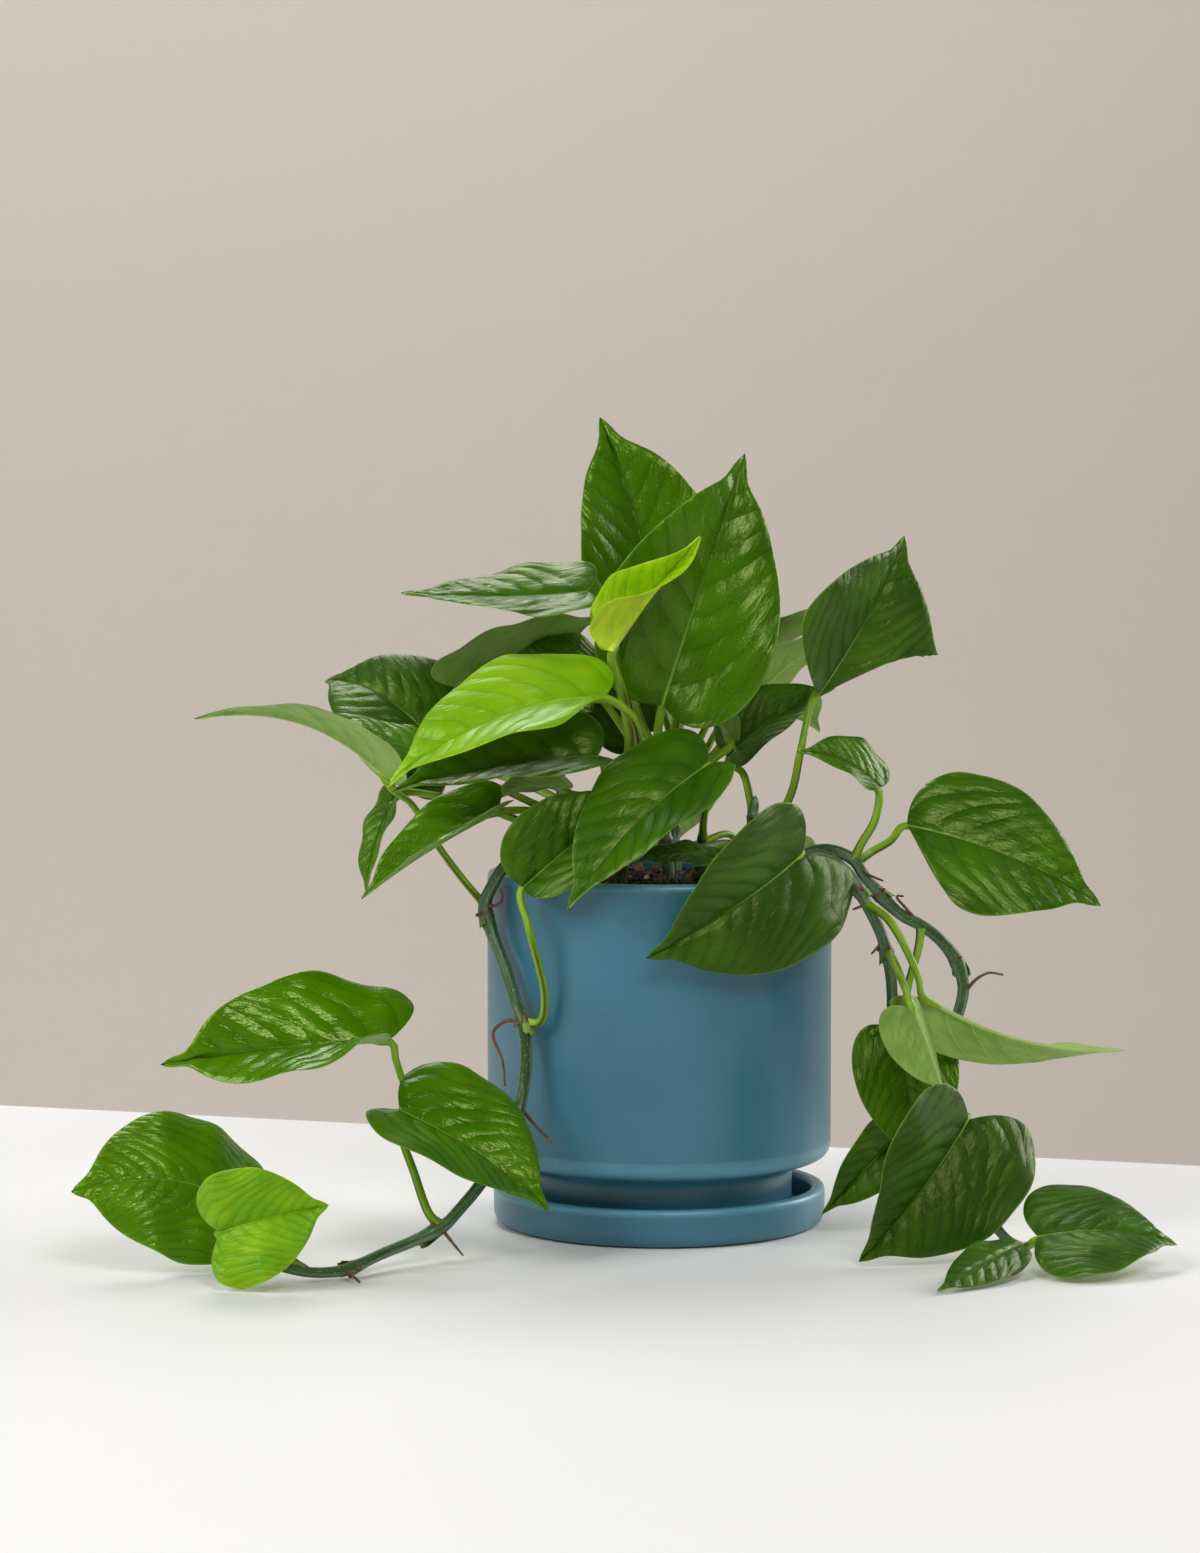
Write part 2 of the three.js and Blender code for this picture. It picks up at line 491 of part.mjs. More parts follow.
    stalk: [[1, 4, 184], [-6, 10, 198], [-18, 16, 218]] },
  { name: 'leaf_shaded', on: 'stem_middle', base: [-10, 32, 213], tip: [-37, 37, 252],
    face: [-0.3, -1, 0.2], width: 34,
    stalk: [[2, 3, 176], [-1, 12, 186], [-6, 25, 200]] },
  { name: 'leaf_pale_low', on: 'stem_front_left', base: [-40, -14, 190], tip: [-74, -8, 184],
    face: [0, 0.4, 0.9], width: 30,
    stalk: [[-15, -19, 170], [-24, -14, 178], [-34, -13, 187]] },
  { name: 'leaf_over_soil', on: 'stem_front', base: [23, -42, 162], tip: [-16, -48, 158],
    face: [0, -0.6, 0.8], width: 20,
    stalk: [[16, -30, 154], [20, -37, 157]] },
  // Back of the crown, out of sight from the front
  { name: 'leaf_back_left', on: 'stem_back', base: [-34, 66, 218], tip: [-92, 98, 200],
    face: [-0.3, 0.5, 0.8], width: 58, arch: 10,
    stalk: [[8, 41, 185], [-1, 47, 192], [-20, 60, 206]] },
  { name: 'leaf_back_top', on: 'stem_back', base: [0, 64, 236], tip: [10, 126, 202],
    face: [0, 0.6, 0.8], width: 64, arch: 12,
    stalk: [[8, 42, 197], [6, 48, 208], [2, 56, 224]] },
  { name: 'leaf_back_right', on: 'stem_back', base: [36, 69, 224], tip: [76, 111, 208],
    face: [0.3, 0.5, 0.8], width: 50, arch: 8,
    stalk: [[7, 41, 178], [16, 50, 190], [26, 63, 210]] },
  { name: 'leaf_back_low', on: 'stem_back', base: [4, 66, 188], tip: [-4, 118, 142],
    face: [0, 0.9, 0.5], width: 56, arch: 10,
    stalk: [[7, 39, 166], [7, 48, 174], [5, 58, 183]] },
  { name: 'leaf_back_low_right', on: 'stem_back', base: [39, 64, 161], tip: [70, 108, 116],
    face: [0.3, 0.9, 0.4], width: 50, arch: 8,
    stalk: [[8, 37, 158], [19, 44, 162], [32, 56, 165]] },
];

addMesh('saucer', makeSaucer(), glaze);
addMesh('pot', makePot(), glaze);
const stemHoles = Object.values(stems).map(({ points: [[x, y]] }) => [x, y, VINE_RADIUS + 1]);
addMesh('potting_mix', makeSoil(stemHoles), mix);
Object.entries(stems).forEach(([name, stem]) => addStem(name, stem));
leaves.forEach(addLeaf);

export default plant;
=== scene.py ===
"""Looks for a jade pothos in a glazed ceramic pot, laid out as a Blender add-on.

The pieces are surfaces worked out with numpy in metres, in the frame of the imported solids:
+Z up along the pot's axis, the surface it stands on at z = 0, seen from the -Y side.
"""

import itertools

import bpy
import numpy as np
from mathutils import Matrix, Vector
from bpy.props import FloatProperty, FloatVectorProperty, IntProperty, PointerProperty


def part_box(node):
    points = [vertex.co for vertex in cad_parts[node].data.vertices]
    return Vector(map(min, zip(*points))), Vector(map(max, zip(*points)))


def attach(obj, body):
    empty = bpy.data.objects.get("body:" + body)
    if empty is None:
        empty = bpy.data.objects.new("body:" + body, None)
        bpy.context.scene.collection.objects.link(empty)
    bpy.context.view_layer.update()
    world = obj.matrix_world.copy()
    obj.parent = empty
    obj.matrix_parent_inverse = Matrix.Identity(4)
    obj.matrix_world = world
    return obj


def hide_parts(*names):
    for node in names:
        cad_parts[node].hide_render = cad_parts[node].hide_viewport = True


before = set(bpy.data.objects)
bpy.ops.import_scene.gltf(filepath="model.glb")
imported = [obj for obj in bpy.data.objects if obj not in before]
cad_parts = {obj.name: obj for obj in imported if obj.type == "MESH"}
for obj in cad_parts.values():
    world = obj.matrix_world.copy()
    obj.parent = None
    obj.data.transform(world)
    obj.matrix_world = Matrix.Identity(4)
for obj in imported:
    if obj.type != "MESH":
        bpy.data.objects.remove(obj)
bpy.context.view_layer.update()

bl_info = {
    "name": "Potted jade pothos",
    "version": (1, 0, 0),
    "blender": (4, 5, 0),
    "location": "View3D > Sidebar > Pothos",
    "description": "Builds a jade pothos in a glazed pot and saucer from its sizes",
    "category": "Add Mesh",
}

# Lengths are in metres. The pot's foot stands on the saucer's floor with a drain hole in it, and
# touching pieces are seated with a small gap.
MM = 0.001
POT_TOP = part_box("pot")[1]
SAUCER_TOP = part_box("saucer")[1]
FOOT_HEIGHT, DRAIN_RADIUS, SEAT_GAP = 0.0053, 0.007, 0.0003
POT_SIDES = 128


def linear(red, green, blue):
    """A display colour of 0 to 255 as the linear colour that Blender's sockets take."""
    shares = np.array([red, green, blue]) / 255
    bent = np.where(shares <= 0.04045, shares / 12.92, ((shares + 0.055) / 1.055) ** 2.4)
    return tuple(float(x) for x in bent)


# Sizes and colours that a user would change


def size_setting(name, description, default):
    """A length in metres."""
    return FloatProperty(name=name, description=description, default=default, unit="LENGTH")


def colour_setting(name, description, *shade):
    """A colour, given as a display colour of 0 to 255."""
    return FloatVectorProperty(
        name=name, description=description, subtype="COLOR", default=linear(*shade))


class PotSizes(bpy.types.PropertyGroup):
    """The pot, its saucer and the mix in it."""

    radius: size_setting("Pot radius", "Outer radius of the pot's straight side", POT_TOP[0])
    rim: size_setting("Rim height", "Height of the pot's rim above the surface", POT_TOP[2])
    wall: size_setting("Wall", "Thickness of the pot's wall", 0.006)
    foot: size_setting("Foot radius", "Radius of the narrower foot in the saucer", 0.058)
    step: size_setting("Step height", "Height at which the foot widens into the side", 0.028)
    saucer: size_setting("Saucer radius", "Outer radius of the saucer", SAUCER_TOP[0])
    saucer_rim: size_setting("Saucer height", "Height of the saucer's rim", SAUCER_TOP[2])
    soil: size_setting("Mix height", "Height of the potting mix's top", 0.150)
    glaze: colour_setting("Glaze", "Colour of the glaze on the side", 48, 110, 134)
    thin_glaze: colour_setting(
        "Thin glaze", "Colour of the glaze where it thins on an edge", 88, 154, 176)


class FoliageLook(bpy.types.PropertyGroup):
    """The leaves and stems."""

    rows: IntProperty(name="Rows", description="Steps along each blade", default=56, min=12, max=90)
    columns: IntProperty(
        name="Columns", description="Steps across each blade, an even number", default=36,
        min=8, max=60)
    thickness: size_setting("Blade thickness", "Thickness of a blade at its middle", 0.0007)
    quilt: size_setting("Quilting", "How far the blade swells between its side veins", 0.0007)
    green: colour_setting("Leaf green", "Colour of a grown leaf's face", 84, 138, 0)
    # The deep green is a leaf's darker green and also painted shade: in its hollows, vein creases and
    # midrib groove, and on leaves in shade.
    deep: colour_setting("Deep green", "Colour of a grown leaf in its hollows", 30, 72, 0)
    # The young green is lightened in part as a painted sheen, which shows where a young leaf's tone is
    # full, as on curled_lime.
    young: colour_setting("Young green", "Colour of a young leaf's face", 176, 218, 24)
    back: colour_setting("Underside", "Colour of a leaf's underside", 142, 178, 84)
    vine: colour_setting("Vine green", "Colour of the older stems", 40, 76, 26)


class StageLook(bpy.types.PropertyGroup):
    """The floor, the wall behind it and the light."""

    floor: colour_setting("Floor", "Colour of the floor", 243, 242, 240)
    wall: colour_setting("Wall", "Colour of the wall behind the floor", 208, 200, 191)
    light: FloatProperty(
        name="Light", description="Power of the main soft light", default=25.0, unit="POWER")


# Paths, shells and meshes

FIRST_NORMAL = (0.3, 0.2, 1.0)


def unit(vectors):
    """Vectors divided by their length."""
    length = np.linalg.norm(vectors, axis=-1, keepdims=True)
    return vectors / np.maximum(length, 1e-12)


def smoothstep(low, high, values):
    """0 below low, 1 above high, and 3x^2 - 2x^3 between them."""
    share = np.clip((values - low) / (high - low), 0, 1)
    return share * share * (3 - 2 * share)


def bell(away, width):
    """exp(-(away / width)^2)"""
    return np.exp(-((away / width) ** 2))


def angles(sides):
    """That many even angles round a circle."""
    return 2 * np.pi * np.arange(sides) / sides


def run_lengths(points):
    """The length along a path at each of its points."""
    return np.concatenate([[0], np.cumsum(np.linalg.norm(np.diff(points, axis=0), axis=1))])


def read_at(at, places, values):
    """Rows of values, known at those places, read in between by straight lines."""
    return np.stack([np.interp(at, places, column) for column in values.T], -1)


def smooth_path(points, count):
    """count + 1 points evenly along a centripetal Catmull-Rom curve: between two points it is the
    cubic whose end tangents come from the neighbours, weighted by the root of their distances."""
    points = np.asarray(points, float)
    ends = [2 * points[0] - points[1]], [2 * points[-1] - points[-2]]
    p = np.concatenate([ends[0], points, ends[1]])
    gap = np.maximum(np.linalg.norm(np.diff(p, axis=0), axis=1) ** 0.5, 1e-9)[:, None]
    chord = np.diff(p, axis=0) / gap
    skip = (p[2:] - p[:-2]) / (gap[1:] + gap[:-1])
    tangent = chord[:-1] - skip + chord[1:]
    p1, p2, g = p[1:-2, None], p[2:-1, None], gap[1:-1]
    m1, m2 = (tangent[:-1] * g)[:, None], (tangent[1:] * g)[:, None]
    w = np.linspace(0, 1, 40, endpoint=False)[None, :, None]
    cubic = (
        (2 * w**3 - 3 * w**2 + 1) * p1 + (w**3 - 2 * w**2 + w) * m1
        + (3 * w**2 - 2 * w**3) * p2 + (w**3 - w**2) * m2
    )
    line = np.concatenate([cubic.reshape(-1, 3), points[-1:]])
    length = run_lengths(line)
    return read_at(np.linspace(0, length[-1], count + 1), length, line)


def path_frames(path, first):
    """Tangents, normals and binormals of a path. Each normal is the one before it, laid into the
    plane across the path, so that the frame doesn't twist. first is where the normals start."""
    tangents = unit(np.gradient(path, axis=0))
    normals = np.empty_like(path)
    normal = np.asarray(first, float)
    for k, tangent in enumerate(tangents):
        normal = unit(normal - (normal @ tangent) * tangent)
        normals[k] = normal
    return tangents, normals, np.cross(tangents, normals)


def ring_shell(points, height, slot=0, joined=False):
    """A shell of rows of points, each row a ring. Its UV map runs once round and up by the rows'
    heights. With joined, the last row meets the first one."""
    rows, sides = points.shape[:2]
    i, j = np.indices((rows if joined else rows - 1, sides)).reshape(2, -1)
    k, n = (j + 1) % sides, (i + 1) % rows
    u = np.stack([j, j + 1, j + 1, j], 1) / sides
    v = np.stack([height[i], height[i], height[i + 1], height[i + 1]], 1)
    return {
        "points": points.reshape(-1, 3), "quad_uv": np.stack([u, v], -1),
        "quads": np.stack([i * sides + j, i * sides + k, n * sides + k, n * sides + j], 1),
        "quad_slot": np.full(len(i), slot),
    }


def close_ends(shell, sides, tips, marks, uv, slot=0):
    """Closes the two ends of a shell of rings by a fan each, to a tip with its own mark."""
    k, end = np.arange(sides), len(shell["points"])
    following, last = (k + 1) % sides, end - sides
    shell["points"] = np.concatenate([shell["points"], tips])
    shell["mark"] = np.concatenate([shell["mark"], marks])
    shell["tris"] = np.concatenate([
        np.stack([following, k, np.full(sides, end)], 1),
        np.stack([last + k, last + following, np.full(sides, end + 1)], 1),
    ])
    shell["tri_uv"] = uv
    shell["tri_slot"] = np.full(2 * sides, slot)
    return shell


def tube(path, radius, sides, slot=0, first=FIRST_NORMAL, uv_scale=5.0, mark=0.0):
    """A closed tube along a path. radius and mark are arrays over the path's points and the
    angles, or over its points alone. The ends are closed by fans to a point a little past them."""
    count = len(path)
    tangents, normals, binormals = path_frames(path, first)
    turn = angles(sides)
    radius = np.broadcast_to(np.asarray(radius, float).reshape(count, -1), (count, sides))
    mark = np.broadcast_to(mark, (count, sides))
    rings = (
        path[:, None] + normals[:, None] * (np.cos(turn) * radius)[..., None]
        + binormals[:, None] * (np.sin(turn) * radius)[..., None]
    )
    along = run_lengths(path) * uv_scale
    shell = ring_shell(rings, along, slot)
    shell["mark"] = mark.ravel()
    tips = [
        path[0] - tangents[0] * radius[0].mean() * 0.5,
        path[-1] + tangents[-1] * radius[-1].mean() * 0.5,
    ]
    k = np.arange(sides)
    fan_u = np.concatenate([[k + 1, k, k + 0.5], [k, k + 1, k + 0.5]], axis=1).T / sides
    fan_v = np.repeat([0.0, along[-1]], sides)[:, None].repeat(3, 1)
    marks = [mark[0].mean(), mark[-1].mean()]
    return close_ends(shell, sides, tips, marks, np.stack([fan_u, fan_v], -1), slot)


def rounded_profile(corners, steps=8):
    """A profile of (radius, height, fillet) corners. Each corner is the curve
    (1-w)^2 A + 2w(1-w) C + w^2 B between the points A and B at the fillet's distance from it,
    with one more point a little past A and B, which keeps the straight parts flat. Also gives
    how much each point lies in a bend, from 0 to 1."""
    c = np.asarray(corners, float)
    p, fillet = c[:, :2], c[:, 2:]
    span = np.linalg.norm(np.roll(p, -1, axis=0) - p, axis=1, keepdims=True)
    free = span - fillet - np.roll(fillet, -1, axis=0)
    more = np.minimum(0.0008, free / 3)
    before = unit(np.roll(p, 1, axis=0) - p)
    after = unit(np.roll(p, -1, axis=0) - p)
    w = np.linspace(0, 1, steps)[None, :, None]
    start, end = p + before * fillet, p + after * fillet
    curve = (1 - w) ** 2 * start[:, None] + 2 * w * (1 - w) * p[:, None] + w**2 * end[:, None]
    guards = start + before * np.roll(more, 1, axis=0), end + after * more
    flat = np.concatenate([guards[0][:, None], curve, guards[1][:, None]], axis=1).reshape(-1, 2)
    bend = np.concatenate([[0], np.sin(np.linspace(0.15, 0.85, steps) * np.pi), [0]])
    keep = np.linalg.norm(flat - np.roll(flat, 1, axis=0), axis=1) > 2e-5
    return flat[keep], np.tile(bend, len(p))[keep]


def revolved(profile, sides, mark=0.0, closed=True, relief=None):
    """A profile of (radius, height) turned round the Z axis. It runs up the outside. A closed
    profile is a ring. An open one starts and ends on the axis. relief(x, y, row) adds to the
    height, and mark is a value for each point of the profile."""
    turn = angles(sides)
    mark = np.broadcast_to(mark, len(profile))
    inside = slice(None) if closed else slice(1, -1)
    ring = profile[inside]
    x, y = ring[:, :1] * np.cos(turn), ring[:, :1] * np.sin(turn)
    z = np.repeat(ring[:, 1:], sides, axis=1)
    if relief is not None:
        z = z + relief(x, y, np.arange(len(ring))[:, None])
    height = np.arange(len(ring) + 1) / len(ring)
    shell = ring_shell(np.stack([x, y, z], -1), height, joined=closed)
    shell["mark"] = np.repeat(mark[inside], sides)
    if closed:
        return shell
    tips = [[0, 0, profile[0, 1]], [0, 0, profile[-1, 1]]]
    return close_ends(shell, sides, tips, mark[[0, -1]], np.zeros((2 * sides, 3, 2)))


def grid_normals(grid):
    """A grid's unit normals, the cross product of its two directions."""
    return unit(np.cross(np.gradient(grid, axis=1), np.gradient(grid, axis=0)))


def closed_sheet(middle, above, below, uv, slots, mark=0.0):
    """A thin closed shell round a grid of middle points. Its faces lie above and below the middle
    along the normal, with a material slot each. Both share the points of the grid's border, where
    the thickness is nothing."""
    normals = grid_normals(middle)
    rows, columns = middle.shape[:2]
    border = np.ones((rows, columns, 1))
    border[[0, -1]] = 0
    border[:, [0, -1]] = 0
    upper = middle + normals * above[..., None] * border
    lower = middle - normals * below[..., None] * border
    over = np.arange(rows * columns).reshape(rows, columns)
    under = over.copy()
    under[1:-1, 1:-1] = rows * columns + np.arange((rows - 2) * (columns - 2)).reshape(rows - 2, -1)

    def corners(grid):
        around = [grid[:-1, :-1], grid[:-1, 1:], grid[1:, 1:], grid[1:, :-1]]
        return np.stack(around, -1).reshape(-1, 4)

    def both(values):
        values = np.broadcast_to(values, (rows, columns) + np.shape(values)[2:])
        rest = values.shape[2:]
        return np.concatenate([values.reshape(-1, *rest), values[1:-1, 1:-1].reshape(-1, *rest)])

    quads = np.concatenate([corners(over), corners(under)[:, ::-1]])
    return {
        "points": np.concatenate([upper.reshape(-1, 3), lower[1:-1, 1:-1].reshape(-1, 3)]),
        "quads": quads, "quad_uv": both(uv)[quads], "quad_slot": np.repeat(slots, len(quads) // 2),
        "mark": both(mark),
    }


def add_object(name, data):
    """Adds an object with that data to the scene."""
    made = bpy.data.objects.new(name, data)
    bpy.context.scene.collection.objects.link(made)
    return made


def make_piece(name, shells, materials, replaced=()):
    """Puts shells into one mesh object with a UV map and the attributes tone and mark, rides it
    on the root body, and hides the solids that it stands for. On leaves the tone also holds
    painted light and shade."""
    points, faces, corners, slots, base = [], [], [], [], 0
    for shell in shells:
        points.append(shell["points"])
        for kind in ("quad", "tri"):
            if kind + "s" in shell:
                faces.extend((shell[kind + "s"] + base).tolist())
                corners.append(shell[kind + "_uv"].reshape(-1, 2))
                slots.append(shell[kind + "_slot"])
        base += len(shell["points"])
    mesh = bpy.data.meshes.new(name)
    mesh.from_pydata(np.concatenate(points), [], faces)
    for material in materials:
        mesh.materials.append(material)
    mesh.polygons.foreach_set("material_index", np.concatenate(slots).astype(np.int32))
    mesh.polygons.foreach_set("use_smooth", np.ones(len(faces), bool))
    layer = mesh.uv_layers.new(name="surface")
    layer.uv.foreach_set("vector", np.concatenate(corners).astype(np.float32).ravel())
    for label in ("tone", "mark"):
        values = [np.broadcast_to(shell.get(label, 0.0), len(shell["points"])) for shell in shells]
        layer = mesh.attributes.new(label, "FLOAT", "POINT")
        layer.data.foreach_set("value", np.concatenate(values).astype(np.float32))
    mesh.update()
    piece = add_object(name, mesh)
    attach(piece, "root")
    if replaced:
        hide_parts(*replaced)
    return piece


def lattice_noise(points, size, seed):
    """Value noise from -1 to 1: a hashed value at each corner of a cubic lattice of that size,
    blended by 3x^2 - 2x^3 along each axis."""
    cell = np.asarray(points, float) / size
    low = np.floor(cell).astype(np.int64)
    share = smoothstep(0, 1, cell - low)
    total = np.zeros(cell.shape[:-1])
    for corner in itertools.product((0, 1), repeat=3):
        x, y, z = np.moveaxis(low + np.array(corner), -1, 0)
        mixed = x * 73856093 ^ y * 19349663 ^ z * 83492791 ^ seed * 2654435
        mixed = (mixed ^ (mixed >> 13)) * 1274126177
        value = ((mixed ^ (mixed >> 16)) & 0xFFFF) / 32767.5 - 1
        total += np.prod(np.where(corner, share, 1 - share), axis=-1) * value
    return total


# Materials


def set_inputs(tree, node, inputs):
    """Sets a node's inputs to values, or links them to sockets, by name or number."""
    for key, value in inputs.items():
        if isinstance(value, bpy.types.NodeSocket):
            tree.links.new(value, node.inputs[key])
        else:
            node.inputs[key].default_value = value


def add_node(tree, kind, inputs=None, **settings):
    """Adds a node with those settings and inputs, and gives its outputs."""
    made = tree.nodes.new(kind)
    for key, value in settings.items():
        setattr(made, key, value)
    set_inputs(tree, made, inputs or {})
    return made.outputs


def calc(tree, operation, *values, clamp=False):
    """The result of a Math node on sockets or numbers."""
    inputs = dict(enumerate(values))
    return add_node(tree, "ShaderNodeMath", inputs, operation=operation, use_clamp=clamp)[0]


def scaled(tree, value, factor, shift=0.0, clamp=False):
    """value x factor + shift"""
    return calc(tree, "MULTIPLY_ADD", value, factor, shift, clamp=clamp)


def weighted(tree, total, *terms, clamp=False):
    """A number plus each value times its weight. Only the whole sum is clamped."""
    for value, weight in terms:
        total = scaled(tree, value, weight, total)
    total.node.use_clamp = clamp
    return total


def ramp(tree, value, low, high, start=0.0, end=1.0):
    """A value between low and high as a smooth step from start to end."""
    inputs = {"Value": value, "From Min": low, "From Max": high, "To Min": start, "To Max": end}
    return add_node(tree, "ShaderNodeMapRange", inputs, interpolation_type="SMOOTHSTEP")["Result"]


def layered(tree, colour, *layers):
    """A colour with others laid over it, each by its share, from (share, colour) pairs. A colour
    is a socket or three linear numbers."""
    for share, over in layers:
        under, over = (
            c if isinstance(c, bpy.types.NodeSocket) else (*c[:3], 1.0) for c in (colour, over))
        colour = add_node(tree, "ShaderNodeMix", {0: share, 6: under, 7: over}, data_type="RGBA")[2]
    return colour


def noise(tree, vector, scale, detail, rough=0.5, distortion=0.0):
    """A noise texture's value on a vector."""
    return add_node(tree, "ShaderNodeTexNoise", {
        "Vector": vector, "Scale": scale, "Detail": detail, "Roughness": rough,
        "Distortion": distortion})["Fac"]


def stretched(tree, vector, *factors):
    """A vector times three factors."""
    return add_node(tree, "ShaderNodeVectorMath", {0: vector, 1: factors}, operation="MULTIPLY")[0]


def attribute(tree, name):
    """A piece's own per-point value."""
    return add_node(tree, "ShaderNodeAttribute", attribute_name=name)["Fac"]


def surface_map(tree):
    """A piece's own UV map."""
    return add_node(tree, "ShaderNodeUVMap", uv_map="surface")["UV"]


def object_place(tree):
    """Object coordinates, which are the row frame's metres, as every piece sits at the origin."""
    return add_node(tree, "ShaderNodeTexCoord")["Object"]


def bump(tree, height, strength, distance):
    """A normal bent by a height."""
    inputs = {"Height": height, "Strength": strength, "Distance": distance}
    return add_node(tree, "ShaderNodeBump", inputs)["Normal"]


def new_group(name, inputs, outputs):
    """A node group with those input sockets, a vector where there is no default and else a
    number, and with those number outputs: its tree, its input sockets and its output node."""
    tree = bpy.data.node_groups.new(name, "ShaderNodeTree")
    for label, default in inputs.items():
        kind = "NodeSocketVector" if default is None else "NodeSocketFloat"
        socket = tree.interface.new_socket(label, in_out="INPUT", socket_type=kind)
        if default is not None:
            socket.default_value = default
    for label in outputs:
        tree.interface.new_socket(label, in_out="OUTPUT", socket_type="NodeSocketFloat")
    return tree, tree.nodes.new("NodeGroupInput").outputs, tree.nodes.new("NodeGroupOutput")


# Numbers of a blade's side veins and of its UV map, which the surface and the shader share
VEINS, VEIN_LEAN, VEIN_FALL, VEIN_REACH, VEIN_BEND, VEIN_STAGGER = 8, 0.85, 1.05, 0.3, 2.0, 0.4
MAP_MIDDLE, MAP_START, MAP_LENGTH = 0.5, 0.25, 0.7


def vein_group():
    """Side veins from a blade's flat coordinates: with r the distance from the midrib and s the
    place along it, both in blade lengths, the veins lie where q = n (s - c r - 2 r^2) is whole,
    with c = 0.85 - 1.05 exp(-s / 0.3), so that they lean back in the lobes and sweep to the tip.
    Finer ones run beside them, a random number of which show."""
    tree, source, sink = new_group(
        "leaf_veins", {"Surface": None, "Veins": 8.0}, ("Vein", "Swell", "Midrib", "Fine", "Net"))
    split = add_node(tree, "ShaderNodeSeparateXYZ", {0: source["Surface"]})
    offset = calc(tree, "SUBTRACT", split["X"], MAP_MIDDLE)
    r = calc(tree, "ABSOLUTE", offset)
    s = calc(tree, "DIVIDE", calc(tree, "SUBTRACT", split["Y"], MAP_START), MAP_LENGTH)
    side = scaled(tree, calc(tree, "GREATER_THAN", offset, 0.0), VEIN_STAGGER)
    fall = calc(tree, "EXPONENT", calc(tree, "DIVIDE", calc(tree, "MAXIMUM", s, 0.0), -VEIN_REACH))
    bent = scaled(tree, r, VEIN_BEND, scaled(tree, fall, -VEIN_FALL, VEIN_LEAN))
    wobble = scaled(tree, noise(tree, source["Surface"], 5.0, 2.0), 0.07, -0.035)
    shifted = calc(tree, "SUBTRACT", s, scaled(tree, bent, r))
    q = scaled(tree, calc(tree, "ADD", shifted, wobble), source["Veins"], side)
    wave = calc(tree, "ABSOLUTE", calc(tree, "SINE", scaled(tree, q, float(np.pi))))
    beside = add_node(
        tree, "ShaderNodeCombineXYZ", {0: scaled(tree, q, 1.25), 1: scaled(tree, r, 20.0), 2: side})
    cells = add_node(
        tree, "ShaderNodeTexVoronoi", {"Vector": source["Surface"], "Scale": 62.0},
        feature="DISTANCE_TO_EDGE")
    midrib_width = scaled(tree, s, -0.005, 0.0085)
    set_inputs(tree, sink, {
        "Vein": ramp(tree, wave, 0.0, 0.2, 1.0, 0.0),
        "Swell": calc(tree, "POWER", wave, 0.8),
        "Midrib": ramp(tree, calc(tree, "DIVIDE", r, midrib_width), 0.35, 1.0, 1.0, 0.0),
        "Fine": noise(tree, beside[0], 1.0, 2.0, 0.5, 0.4),
        "Net": ramp(tree, cells["Distance"], 0.0, 0.13, 1.0, 0.0),
    })
    return tree


def mottle_group():
    """Slow and fine drifts of lightness over a surface, each a value from 0 to 1."""
    tree, source, sink = new_group("mottle", {"Place": None, "Scale": 30.0}, ("Drift", "Grain"))
    slow = noise(tree, source["Place"], source["Scale"], 2.0)
    fine = noise(tree, source["Place"], scaled(tree, source["Scale"], 14.0), 3.0, 0.6)
    set_inputs(tree, sink, {
        "Drift": ramp(tree, slow, 0.3, 0.7), "Grain": ramp(tree, fine, 0.25, 0.75)})
    return tree


def fibre_group():
    """Lengthwise fibres and pale flecks on a stem from its own coordinates, round and along."""
    tree, source, sink = new_group("stem_fibres", {"Surface": None}, ("Fibre", "Fleck"))
    fibre = noise(tree, stretched(tree, source["Surface"], 26.0, 16.0, 1.0), 1.0, 3.0, 0.6)
    fleck = noise(tree, stretched(tree, source["Surface"], 30.0, 90.0, 1.0), 1.0, 1.0)
    set_inputs(tree, sink, {"Fibre": fibre, "Fleck": ramp(tree, fleck, 0.6, 0.72)})
    return tree


EFFECTS = {"leaf_veins": vein_group, "mottle": mottle_group, "stem_fibres": fibre_group}


def effect(tree, name, inputs):
    """The outputs of a shared effect in a material. Its group is made on its first use."""
    group = bpy.data.node_groups.get(name) or EFFECTS[name]()
    return add_node(tree, "ShaderNodeGroup", inputs, node_tree=group)


def new_material(name):
    """An empty node material and its tree."""
    material = bpy.data.materials.new(name)
    material.use_nodes = True
    material.node_tree.nodes.clear()
    return material, material.node_tree


def principled(material, inputs):
    """Joins a Principled BSDF with those inputs to a material's output, and gives the material."""
    shader = add_node(material.node_tree, "ShaderNodeBsdfPrincipled", inputs)
    add_node(material.node_tree, "ShaderNodeOutputMaterial", {"Surface": shader[0]})
    return material


